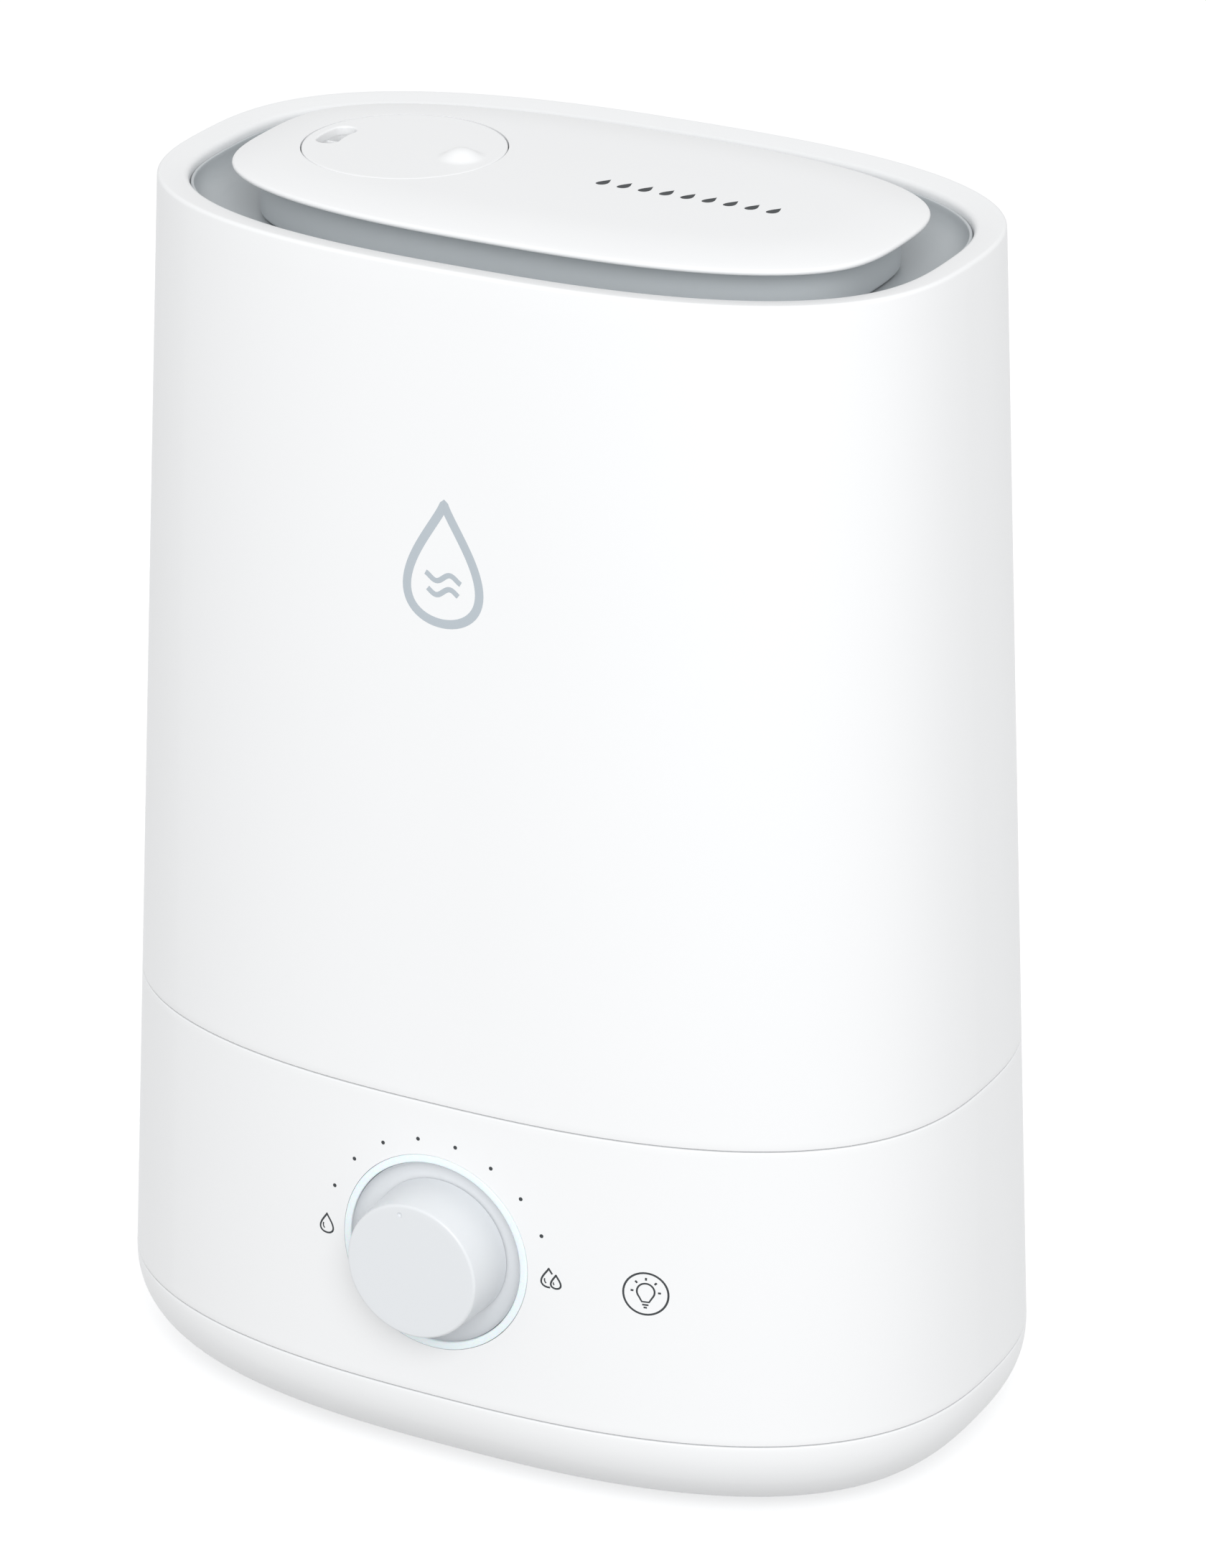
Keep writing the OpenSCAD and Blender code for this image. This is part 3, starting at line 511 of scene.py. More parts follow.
def finish_piece(piece, finish, body, slot, *nodes):
    """Shades a piece, gives it its finish and puts it on its body in place of its CAD nodes"""
    select_only(piece)
    bpy.ops.object.transform_apply(location=True, rotation=True, scale=True)
    bpy.ops.object.shade_smooth_by_angle(angle=SMOOTH_ANGLE)
    piece.data.materials.clear()
    piece.data.materials.append(finish)
    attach(piece, body)
    if nodes:
        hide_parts(*nodes)


# ==== Operators: casings ====


class HUMIDIFIER_OT_tank(bpy.types.Operator):
    """Builds the tank's outer casing, with its rounded rim"""
    bl_idname = "humidifier.tank"
    bl_label = "Tank Casing"

    def execute(self, context):
        s = sizes()
        low = TANK_LOW[2] - 0.12 * MM
        edge, rim = s.seam_round, s.rim_round
        inner_round = 1.6 * MM
        rim_in = lean(RIM_TOP) + s.rim_width
        under = RIM_TOP - 6 * MM
        section = arc((lean(low + edge) + edge, low + edge), edge, 270, 180, 4)
        section += [(lean(low + 2 * MM), low + 2 * MM), (lean(low + 60 * MM), low + 60 * MM),
                    (lean(low + 130 * MM), low + 130 * MM), (lean(under), under)]
        section += arc((lean(RIM_EDGE - rim) + rim, RIM_EDGE - rim), rim, 180, 82, 8)
        section += arc((rim_in - inner_round, RIM_TOP + 0.5 * MM - inner_round), inner_round, 82, 0, 8)
        section += [(rim_in, under), (lean(under) + s.wall, under), (lean(low) + s.wall, low)]
        piece = swept_piece("tank_casing", section, on_oval, RING_POINTS)
        finish_piece(piece, casing_abs(), "tank", "white_casing", "tank_shell")
        return {"FINISHED"}


class HUMIDIFIER_OT_funnel(bpy.types.Operator):
    """Builds the grey funnel that lines the fill opening and forms the channel round the lid"""
    bl_idname = "humidifier.funnel"
    bl_label = "Fill Funnel"

    def execute(self, context):
        s = sizes()
        rim_in = lean(RIM_TOP) + s.rim_width
        neck_in = rim_in + s.lid_gap + s.lid_overhang
        top = FUNNEL_TOP
        flange = RIM_TOP - 6.2 * MM
        floor = FUNNEL_FLOOR_LOW + 4.6 * MM
        lip, bowl = 0.35 * MM, 5.6 * MM
        clip = lean(flange) + s.wall + 0.35 * MM
        section = [(clip, flange - 2.2 * MM), (clip, flange), (rim_in + 0.3 * MM, flange)]
        section += arc((rim_in + 0.3 * MM + lip, top - lip), lip, 180, 90, 3)
        section += arc((rim_in + 1.1 * MM - lip, top - lip), lip, 90, 0, 3)
        section += arc((rim_in + 1.1 * MM + bowl, top - 1.1 * MM), bowl, 180, 270, 14)
        section += [(neck_in - 2 * MM, floor + 0.7 * MM), (38.4 * MM, floor + 0.15 * MM),
                    (39 * MM, floor - 0.5 * MM), (39 * MM, floor - 4.6 * MM), (37.2 * MM, floor - 4.6 * MM),
                    (37.2 * MM, floor - 2 * MM), (rim_in + 6.7 * MM, RIM_TOP - 10.1 * MM),
                    (rim_in + 3.8 * MM, top - 8.2 * MM), (rim_in + 1.6 * MM, top - 7 * MM)]
        piece = swept_piece("funnel_liner", section, on_oval, RING_POINTS)
        # The liner colour is grey plastic, deepened as painted shade for the gutter
        finish_piece(piece, liner_abs(), "tank", "grey_liner", "fill_funnel", "funnel_floor")
        return {"FINISHED"}


class HUMIDIFIER_OT_base(bpy.types.Operator):
    """Builds the base's outer casing, with its openings for the knob's ring and the power inlet"""
    bl_idname = "humidifier.base"
    bl_label = "Base Casing"

    def execute(self, context):
        s = sizes()
        low, high, edge = SHELL_LOW[2], SHELL_HIGH[2], s.seam_round
        rows = 24
        step = (high - low - 4 * MM) / rows
        section = arc((edge, low + edge), edge, 270, 180, 4)
        section += [(lean(low + 2 * MM + step * i), low + 2 * MM + step * i) for i in range(rows + 1)]
        section += arc((lean(high - edge) + edge, high - edge), edge, 180, 90, 4)
        inside = lean(high) + s.wall
        section += [(inside - 0.2 * MM, high), (inside, high - 1 * MM), (s.wall, low)]
        piece = swept_piece("base_casing", section, on_oval, RING_POINTS)
        wall_y = front_wall(0.0, KNOB_Z)
        tilt = math.pi / 2 - s.draft
        ring_hole = rod_cutter((0.0, wall_y, KNOB_Z), RING_RADIUS + 0.12 * MM, 24 * MM, (tilt, 0.0, 0.0), 128)
        rear_y = 2 * CENTRE_Y - front_wall(0.0, JACK_Z)
        jack_hole = rod_cutter((0.0, rear_y, JACK_Z), 6.2 * MM, 12 * MM, (math.pi / 2, 0.0, 0.0))
        cut_away(piece, ring_hole, jack_hole)
        cup = swept_piece("jack_cup", self.cup_section(rear_y - CENTRE_Y), self.on_jack, 96)
        piece = join([piece, cup], "base_casing")
        finish_piece(piece, casing_abs(), "base", "white_casing", "base_shell")
        return {"FINISHED"}

    def cup_section(self, reach):
        """The round boss behind the rear wall that holds the power inlet"""
        back = reach - 4.4 * MM
        seat, bore, hole, outside = 71.6 * MM, 6.2 * MM, 4.15 * MM, 9.5 * MM
        return [(bore, reach + 0.05 * MM), (bore, seat), (hole, seat), (hole, back),
                (outside, back), (outside, reach - 0.6 * MM), (6.6 * MM, reach - 0.6 * MM)]

    @staticmethod
    def on_jack(turn, section_point):
        radius, out = section_point
        return radius * math.cos(turn), CENTRE_Y + out, JACK_Z + radius * math.sin(turn)


class HUMIDIFIER_OT_pan(bpy.types.Operator):
    """Builds the rounded bottom pan, with its air slots, screw wells and foot recesses"""
    bl_idname = "humidifier.pan"
    bl_label = "Bottom Pan"

    def execute(self, context):
        s = sizes()
        floor, top, r = PAN_LOW[2], PAN_SEAM, s.pan_round
        edge = s.seam_round
        side_low = top - 1.5 * MM
        fall = side_low - floor
        outer = [(r - r * math.cos(t), side_low - fall * math.sin(t))
                 for t in [math.pi / 2 * i / 22 for i in range(22, -1, -1)]]
        inner = [(r - (r - s.wall) * math.cos(t), side_low - (fall - s.wall) * math.sin(t))
                 for t in [math.pi / 2 * i / 10 for i in range(11)]]
        section = outer
        section += arc((edge, top - 0.1 * MM - edge), edge, 180, 90, 4)
        section += [(2.75 * MM, top - 0.1 * MM), (2.9 * MM, PAN_HIGH[2]), (4.5 * MM, PAN_HIGH[2])]
        section += inner
        piece = swept_piece("pan_casing", section, on_oval, RING_POINTS, closed=False)
        feet = [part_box(f"foot_{end}_{side}") for end in ("front", "back") for side in ("left", "right")]
        cutters = [rod_cutter((middle(low, high, 0), middle(low, high, 1), floor), 8.15 * MM, 2 * MM)
                   for low, high in feet]
        head = 3.3 * MM
        screw_xs = (SCREWS_LOW[0] + head, SCREWS_HIGH[0] - head)
        screw_ys = (SCREWS_LOW[1] + head, SCREWS_HIGH[1] - head)
        cutters += [rod_cutter((x, y, floor), 3.6 * MM, 12 * MM, corners=48)
                    for x in screw_xs for y in screw_ys]
        cutters.append(self.slot_row())
        cut_away(piece, *cutters)
        finish_piece(piece, casing_abs(), "base", "white_casing", "bottom_pan")
        return {"FINISHED"}

    def slot_row(self):
        """A row of round-ended slots under the fan"""
        slots, pitch, width, run = 11, 4.6 * MM, 2.6 * MM, 38 * MM
        centre_x, centre_y = middle(FAN_LOW, FAN_HIGH, 0), middle(FAN_LOW, FAN_HIGH, 1)
        bars = []
        for i in range(slots):
            bar = rod_cutter((0.0, 0.0, 0.0), width / 2, 12 * MM, corners=24)
            for vert in bar.data.vertices:
                vert.co.y += math.copysign((run - width) / 2, vert.co.y)
            bar.location = (centre_x + (i - (slots - 1) / 2) * pitch, centre_y, PAN_LOW[2])
            bars.append(bar)
        return join(bars, "slot_cutter")


# ==== Operators: lid and nozzle ====


class HUMIDIFIER_OT_lid(bpy.types.Operator):
    """Builds the crowned lid with its thin lip, and the neck that it stands on"""
    bl_idname = "humidifier.lid"
    bl_label = "Lid"

    def execute(self, context):
        s = sizes()
        lid_in = lean(RIM_TOP) + s.rim_width + s.lid_gap
        under = RIM_TOP + 2.2 * MM
        lip_top = LID_TOP - s.lid_crown
        lip = (lip_top - under) / 2
        steps = 16
        crown = [(lid_in + lip * 0.55 + s.lid_roll * share, LID_TOP - s.lid_crown * (1 - share) ** 2.3)
                 for share in [i / steps for i in range(1, steps + 1)]]
        section = [(lid_in + 9 * MM, under + 1.4 * MM), (lid_in + 5 * MM, under + 1.0 * MM),
                   (lid_in + 3.4 * MM, under + 0.3 * MM), (lid_in + 2.4 * MM, under)]
        section += arc((lid_in + lip, under + lip), lip, 262, 98, 8)
        section += crown
        piece = swept_piece("lid_top", section, on_oval, RING_POINTS, closed=False)
        cut_away(piece, rod_cutter((NOZZLE_X, CENTRE_Y, LID_TOP), NOZZLE_RADIUS + 0.3 * MM, 20 * MM,
                                   corners=ROUND_POINTS))
        well_low = RIM_TOP - 13.6 * MM
        well_high, well_radius = LID_TOP - 0.6 * MM, NOZZLE_RADIUS + 0.35 * MM
        well = swept_piece("nozzle_well", [
            (well_radius, well_high), (well_radius, well_low + 2 * MM), (17 * MM, well_low + 2 * MM),
            (17 * MM, well_low), (27 * MM, well_low), (27 * MM, well_high)], on_nozzle, ROUND_POINTS)
        boss_low, boss_high = LEDGE_TOP + 0.2 * MM, under + 1.8 * MM
        bosses = [rod_cutter((x, y, (boss_low + boss_high) / 2), 3.2 * MM, boss_high - boss_low, corners=32)
                  for x, y in LID_BOSSES]
        piece = join([piece, well, *bosses], "lid_top")
        finish_piece(piece, casing_abs(), "lid", "white_casing", "lid_cover")
        self.neck(lid_in + s.lid_overhang)
        return {"FINISHED"}

    def neck(self, inset):
        """The grey wall under the lid, with a ledge for the lid's bosses and a notch round the well"""
        low, high = NECK_LOW[2] + 7.4 * MM, NECK_HIGH[2]
        foot = 1.2 * MM
        section = [(inset + 2.2 * MM, low)]
        section += arc((inset + foot, low + foot), foot, 270, 180, 5)
        section += [(inset, low + 3 * MM), (inset, high - 3 * MM), (inset, high), (inset + 2 * MM, high)]
        section += [(inset + 2 * MM, LEDGE_TOP), (inset + 6.2 * MM, LEDGE_TOP),
                    (inset + 6.2 * MM, NECK_LOW[2]), (inset + 4.4 * MM, NECK_LOW[2]),
                    (inset + 4.4 * MM, LEDGE_TOP - 2 * MM), (inset + 2.2 * MM, LEDGE_TOP - 2 * MM)]
        piece = swept_piece("lid_wall", section, on_oval, RING_POINTS)
        heads = [rod_cutter((x, y, LEDGE_TOP - 7 * MM), 2.8 * MM, 10 * MM, corners=48) for x, y in LID_BOSSES]
        well_room = rod_cutter((NOZZLE_X, CENTRE_Y, LEDGE_TOP - 3.8 * MM), 27.2 * MM, 8.4 * MM,
                               corners=ROUND_POINTS)
        cut_away(piece, *heads, well_room)
        # The liner colour is grey plastic, deepened as painted shade for the gutter
        finish_piece(piece, liner_abs(), "lid", "grey_liner", "lid_neck")


class HUMIDIFIER_OT_nozzle(bpy.types.Operator):
    """Builds the turning nozzle disc with its mist slot and finger dome, and the cup under it"""
    bl_idname = "humidifier.nozzle"
    bl_label = "Nozzle"

    def execute(self, context):
        s = sizes()
        radius, edge, thick = NOZZLE_RADIUS, 0.35 * MM, 2.2 * MM
        low = LID_TOP - thick
        rings = 44
        section = [(0.3 * MM, low), (radius - 0.2 * MM, low), (radius, low + 0.2 * MM)]
        section += arc((radius - edge, LID_TOP - edge), edge, 0, 90, 4)
        section += [((radius - edge) * (1 - i / rings), LID_TOP) for i in range(1, rings)]
        piece = swept_piece("nozzle_top", section, on_nozzle, ROUND_POINTS, closed=False)
        self.raise_dome(piece)
        cut_away(piece, self.slot_cutter())
        collar_low, collar_high, wall = LID_TOP - 8.5 * MM, low + 0.1 * MM, 1.0 * MM
        collar = swept_piece("slot_collar", [
            (0.0, collar_low), (0.0, collar_high), (wall, collar_high), (wall, collar_low)], self.on_slot, 96)
        piece = join([piece, collar, self.fin()], "nozzle_top")
        finish_piece(piece, casing_abs(), "nozzle", "white_casing", "nozzle_disc")
        self.cup()
        return {"FINISHED"}

    def raise_dome(self, piece):
        """Lifts the disc's top into a finger dome that runs out smoothly into the flat"""
        s = sizes()
        centre = Vector((NOZZLE_X + 15.8 * MM, CENTRE_Y - 1.0 * MM))
        reach, height = s.dome_radius * 1.22, s.dome_height
        for vert in piece.data.vertices:
            if vert.co.z > LID_TOP - 0.01 * MM:
                share = (vert.co.xy - centre).length / reach
                if share < 1:
                    vert.co.z += height * (1 - share ** 2.2) ** 1.7

    @staticmethod
    def on_slot(turn, section_point):
        """A point on the slot's outline, an arc with round ends, grown by the first value"""
        grow, z = section_point
        s = sizes()
        end_radius = s.slot_width / 2 + grow
        sweep, middle_radius = s.slot_sweep, s.slot_radius
        side = 2 * sweep * middle_radius
        share = (turn / (2 * math.pi)) % 1.0
        bend = math.pi * s.slot_width / 2
        travel = share * 2 * (side + bend)
        if travel < side:
            angle = math.pi - sweep + 2 * sweep * travel / side
            point = Vector((math.cos(angle), math.sin(angle))) * (middle_radius + end_radius)
        elif travel < side + bend:
            angle = math.pi + sweep
            round_angle = angle + math.pi * (travel - side) / bend
            point = Vector((math.cos(angle), math.sin(angle))) * middle_radius
            point += Vector((math.cos(round_angle), math.sin(round_angle))) * end_radius
        elif travel < 2 * side + bend:
            angle = math.pi + sweep - 2 * sweep * (travel - side - bend) / side
            point = Vector((math.cos(angle), math.sin(angle))) * (middle_radius - end_radius)
        else:
            angle = math.pi - sweep
            round_angle = angle + math.pi + math.pi * (travel - 2 * side - bend) / bend
            point = Vector((math.cos(angle), math.sin(angle))) * middle_radius
            point += Vector((math.cos(round_angle), math.sin(round_angle))) * end_radius
        return NOZZLE_X + point.x, CENTRE_Y + point.y, z

    def slot_cutter(self):
        """The mist slot, flared at the top so that its edge is rounded"""
        flare = 0.4 * MM
        section = [(0.0, LID_TOP - 4 * MM)]
        section += arc((flare, LID_TOP - flare), flare, 180, 90, 4)
        section += [(flare, LID_TOP + 1 * MM)]
        return swept_piece("slot_cutter", section, self.on_slot, 96, closed=False)

    def fin(self):
        """The thin fin that splits the slot's throat and stiffens it"""
        deselect_all()
        s = sizes()
        bpy.ops.mesh.primitive_cube_add(
            size=1.0, location=(NOZZLE_X - s.slot_radius, CENTRE_Y + 1.5 * MM, LID_TOP - 5.4 * MM))
        fin = bpy.context.object
        fin.scale = (s.slot_width + 1 * MM, 0.9 * MM, 6 * MM)
        bpy.ops.object.transform_apply(location=True, rotation=True, scale=True)
        bpy.ops.object.modifier_add(type="BEVEL")
        fin.modifiers[-1].width = 0.25 * MM
        fin.modifiers[-1].segments = 2
        bpy.ops.object.modifier_apply(modifier=fin.modifiers[-1].name)
        return fin

    def cup(self):
        """The cup that catches drips under the slot, open in its middle for the mist"""
        low, high, outer = CUP_LOW[2], CUP_HIGH[2], (CUP_HIGH[0] - CUP_LOW[0]) / 2
        inside, floor = outer - 1.1 * MM, low + 1.4 * MM
        section = [(16 * MM, low), (outer - 0.4 * MM, low), (outer, low + 0.4 * MM), (outer, high),
                   (inside, high), (inside, low + 2.6 * MM), (inside - 1.2 * MM, floor), (16 * MM, floor)]
        piece = swept_piece("nozzle_basket", section, on_nozzle, ROUND_POINTS)
        finish_piece(piece, basin_polypropylene(), "nozzle", "basin_plastic", "nozzle_cup")


# ==== Operators: knob ====


class HUMIDIFIER_OT_knob(bpy.types.Operator):
    """Builds the output knob with its marker dimple"""
    bl_idname = "humidifier.knob"
    bl_label = "Knob"

    def execute(self, context):
        face, back = CENTRE_Y - KNOB_LOW[1], CENTRE_Y - KNOB_HIGH[1]
        back_radius = (KNOB_HIGH[0] - KNOB_LOW[0]) / 2
        face_radius, edge, wall = back_radius - 0.75 * MM, 0.7 * MM, 2.0 * MM
        section = [(back_radius - wall, back), (back_radius - 0.2 * MM, back), (back_radius, back + 0.2 * MM),
                   (back_radius - 0.06 * MM, back + 1.2 * MM), (face_radius + 0.04 * MM, face - 1.5 * MM)]
        section += arc((face_radius - edge, face - edge), edge, 0, 90, 8)
        section += [(face_radius * 0.86, face), (face_radius * 0.4, face), (1.5 * MM, face)]
        piece = swept_piece("knob_cap", section, on_knob, ROUND_POINTS, closed=False)
        hollow = swept_piece("knob_hollow", [
            (back_radius - wall - 0.01 * MM, back - 1 * MM), (face_radius - wall, face - wall),
            (5.2 * MM, face - wall), (5.2 * MM, back - 1 * MM)], on_knob, ROUND_POINTS)
        angle = sizes().marker_angle
        reach = 14.7 * MM
        deselect_all()
        bpy.ops.mesh.primitive_uv_sphere_add(
            segments=32, ring_count=16, radius=0.68 * MM,
            location=(reach * math.cos(angle), KNOB_LOW[1] - 0.08 * MM, KNOB_Z + reach * math.sin(angle)))
        cut_away(piece, hollow, bpy.context.object)
        # The knob takes the trim colour, whose grey is painted shade for the recess
        finish_piece(piece, knob_abs(), "knob", "white_trim", "knob")
        return {"FINISHED"}


class HUMIDIFIER_OT_dish(bpy.types.Operator):
    """Builds the dish that the knob sits in and the light ring round it"""
    bl_idname = "humidifier.dish"
    bl_label = "Dish and Light Ring"

    def execute(self, context):
        s = sizes()
        inner = RING_RADIUS - s.ring_width
        wall_out = CENTRE_Y - front_wall(0.0, KNOB_Z)
        floor = wall_out - 3.4 * MM
        base_radius = 18.4 * MM
        rim_radius = inner - 0.25 * MM
        self.wall_out, self.base_radius, self.rim_radius = wall_out, base_radius, rim_radius
        flank, rise = rim_radius - base_radius, 3.25 * MM
        bowl = [(base_radius + flank * math.sin(t), floor + rise * (1 - math.cos(t)))
                for t in [math.pi / 2 * i / 12 for i in range(13)]]
        bore, outside = 4.05 * MM, rim_radius + 0.1 * MM
        section = [(bore, floor), (base_radius - 1 * MM, floor)] + bowl
        section += [(outside, wall_out - 0.4 * MM), (outside, wall_out - 2.4 * MM),
                    (base_radius + 1.6 * MM, floor - 2 * MM), (bore, floor - 2 * MM)]
        dish = swept_piece("knob_bowl", section, self.on_wall, ROUND_POINTS)
        # The dish takes the trim colour, whose grey is painted shade for the recess
        finish_piece(dish, knob_abs(), "base", "white_trim", "knob_dish")
        edge, proud = 0.3 * MM, 0.22 * MM
        back, shoulder = wall_out - 4.5 * MM, wall_out + proud - edge
        section = [(inner, back)] + arc((inner + edge, shoulder), edge, 180, 90, 4)
        section += arc((RING_RADIUS - edge, shoulder), edge, 90, 0, 4) + [(RING_RADIUS, back)]
        ring = swept_piece("glow_ring", section, self.on_wall, ROUND_POINTS)
        finish_piece(ring, ring_polycarbonate(), "base", "light_diffuser", "light_ring")
        return {"FINISHED"}

    def on_wall(self, turn, section_point):
        """As on_knob, but past the dish's floor the point follows the wall's curve and lean"""
        radius = section_point[0]
        x, y, z = on_knob(turn, section_point)
        share = min(max((radius - self.base_radius) / (self.rim_radius - self.base_radius), 0.0), 1.0)
        sink = front_wall(x, z) - (CENTRE_Y - self.wall_out)
        return x, y + sink * share, z


# ==== Operators: printed marks ====


def stroke(points, width, closed=False):
    """A line of ink through [x, z] points, drawn as a thin round bar"""
    curve = bpy.data.curves.new("stroke", "CURVE")
    curve.dimensions = "3D"
    curve.bevel_depth = width / 2
    curve.bevel_resolution = 2
    curve.use_fill_caps = not closed
    spline = curve.splines.new("POLY")
    spline.points.add(len(points) - 1)
    for point, (x, z) in zip(spline.points, points):
        point.co = (x, 0.0, z, 1.0)
    spline.use_cyclic_u = closed
    bar = bpy.data.objects.new("stroke", curve)
    bpy.context.collection.objects.link(bar)
    return bar


def circle_points(centre, radius, start=0.0, end=360.0, steps=48):
    turns = [math.radians(start + (end - start) * i / steps) for i in range(steps + (end - start < 360))]
    return [(centre[0] + radius * math.cos(t), centre[1] + radius * math.sin(t)) for t in turns]


def drop_points(centre, width, height, steps=40):
    """The outline of a water drop with a pointed top"""
    points = []
    for i in range(steps):
        t = 2 * math.pi * i / steps
        points.append((centre[0] + width * 0.71 * math.sin(t) * math.sin(t / 2) ** 1.5,
                       centre[1] + height / 2 * math.cos(t)))
    return points


def ink_blob(points):
    """A filled area of ink inside an outline of [x, z] points"""
    deselect_all()
    bpy.ops.mesh.primitive_circle_add(vertices=len(points), radius=1.0, fill_type="NGON")
    blob = bpy.context.object
    for vert, (x, z) in zip(blob.data.vertices, points):
        vert.co = (x, -0.5, z)
    bpy.ops.object.mode_set(mode="EDIT")
    bpy.ops.mesh.select_all(action="SELECT")
    bpy.ops.mesh.extrude_region_move(TRANSFORM_OT_translate={"value": (0.0, 1.0, 0.0)})
    bpy.ops.mesh.select_all(action="SELECT")
    bpy.ops.mesh.normals_make_consistent(inside=False)
    bpy.ops.object.mode_set(mode="OBJECT")
    return blob


def print_piece(name, strokes, blobs, wrap, finish, body, slot):
    """Joins strokes and blobs into one mark, flattens it and lays it on a surface.

    wrap(x, z, height) gives the place of a point of ink at a height over the surface.
    """
    thickness = sizes().print_height
    for bar in strokes:
        select_only(bar)
        bpy.ops.object.convert(target="MESH")
        widest = max(abs(vert.co.y) for vert in bar.data.vertices)
        for vert in bar.data.vertices:
            vert.co.y *= 0.5 / widest
    piece = join([*strokes, *blobs], name)
    for vert in piece.data.vertices:
        vert.co = wrap(vert.co.x, vert.co.z, (0.5 - vert.co.y) * thickness - 0.01 * MM)
    finish_piece(piece, finish, body, slot)
    return piece


def on_front(x, z, height):
    return x, front_wall(x, z, height), z


class HUMIDIFIER_OT_scale(bpy.types.Operator):
    """Prints the dots and water drops of the output scale round the knob"""
    bl_idname = "humidifier.scale"
    bl_label = "Output Scale"

    def execute(self, context):
        radius, thin = sizes().scale_radius, 0.48 * MM
        arc_centre = (0.28 * MM, KNOB_Z - 1.75 * MM)
        turns = [math.radians(156.15 - 18.9 * i) for i in range(8)]
        dots = [circle_points((arc_centre[0] + radius * math.cos(t), arc_centre[1] + radius * math.sin(t)),
                              0.5 * MM, steps=16) for t in turns]
        left, right = (-30.0 * MM, KNOB_Z + 0.2 * MM), (30.4 * MM, KNOB_Z + 0.2 * MM)
        small = (right[0] + 1.85 * MM, right[1] - 0.7 * MM)
        strokes = [
            stroke(drop_points(left, 3.7 * MM, 5.0 * MM), thin, closed=True),
            stroke(circle_points((left[0], left[1] - 0.6 * MM), 1.05 * MM, 150, 235, 8), thin * 0.75),
            stroke(self.cut_drop(right, small), thin),
            stroke(circle_points((right[0], right[1] - 0.6 * MM), 1.05 * MM, 160, 235, 8), thin * 0.75),
            stroke(drop_points(small, 2.55 * MM, 3.5 * MM), thin, closed=True),
            stroke(circle_points((small[0], small[1] - 0.4 * MM), 0.62 * MM, 160, 230, 6), thin * 0.7),
        ]
        print_piece("scale_print", strokes, [ink_blob(dot) for dot in dots], on_front, print_ink(), "base",
                    "black_plastic")
        return {"FINISHED"}

    def cut_drop(self, centre, cover):
        """The large drop's outline, left open where the small drop stands in front of it"""
        points = drop_points(centre, 3.8 * MM, 4.9 * MM)
        hidden = [math.hypot((x - cover[0]) / 1.7, (z - cover[1] + 0.3 * MM) / 2.0) < MM for x, z in points]
        first = hidden.index(True)
        last = len(hidden) - 1 - hidden[::-1].index(True)
        return points[last + 1:] + points[:first]


class HUMIDIFIER_OT_key(bpy.types.Operator):
    """Prints the light key: a circle with a lamp bulb and its rays"""
    bl_idname = "humidifier.key"
    bl_label = "Light Key"

    def execute(self, context):
        x, z, thin = KEY_X, KNOB_Z + 0.2 * MM, 0.5 * MM
        centre, bulb, neck = (x, z), (x, z + 0.55 * MM), (0.85 * MM, z - 2.1 * MM)
        glass = circle_points(bulb, 2.1 * MM, -25, 205, 24)
        glass = [(x + neck[0], neck[1])] + glass + [(x - neck[0], neck[1])]
        strokes = [
            stroke(circle_points(centre, sizes().key_radius), thin, closed=True),
            stroke(glass, thin * 0.9, closed=True),
            stroke([(x - 0.75 * MM, neck[1] - 0.75 * MM), (x + 0.75 * MM, neck[1] - 0.75 * MM)], thin * 0.9),
            stroke([(x - 0.4 * MM, neck[1] - 1.45 * MM), (x + 0.4 * MM, neck[1] - 1.45 * MM)], thin * 0.9),
        ]
        for angle in (0, 45, 90, 135, 180):
            t = math.radians(angle)
            way = (math.cos(t), math.sin(t))
            strokes.append(stroke([(bulb[0] + way[0] * r, bulb[1] + way[1] * r)
                                   for r in (2.9 * MM, 3.6 * MM)], thin))
        print_piece("key_print", strokes, [], on_front, print_ink(), "base", "black_plastic")
        return {"FINISHED"}


class HUMIDIFIER_OT_emblem(bpy.types.Operator):
    """Prints a plain water drop on the tank and a row of small drops on the lid"""
    bl_idname = "humidifier.emblem"
    bl_label = "Emblems"

    def execute(self, context):
        centre = (0.0, 235.5 * MM)
        outline = drop_points(centre, 19 * MM, 29 * MM, 72)
        waves = [stroke([(x * MM, centre[1] - drop * MM + 0.9 * MM * math.sin(x * 0.9))
                         for x in [-span + 2 * span * i / 24 for i in range(25)]], 1.3 * MM)
                 for drop, span in ((3.4, 4.6), (6.8, 4.0))]
        print_piece("tank_emblem", [stroke(outline, 2.2 * MM, closed=True), *waves], [], on_front, mark_ink(),
                    "tank", "white_casing")
        drops = []
        for i in range(9):
            middle_x = 8 * MM + 44 * MM * i / 8
            drops.append([(x + 0.25 * z, z)     # leaning to the right
                          for x, z in drop_points((middle_x, 0.0), 2.6 * MM, 4.4 * MM, 24)])
        print_piece("lid_emblem", [], [ink_blob(drop) for drop in drops], self.on_lid, print_ink(), "lid",
                    "black_plastic")
        return {"FINISHED"}

    @staticmethod
    def on_lid(x, z, height):
        return x, CENTRE_Y - 1.5 * MM + z, LID_TOP + height


# ==== Operators: inside pieces and finishes ====


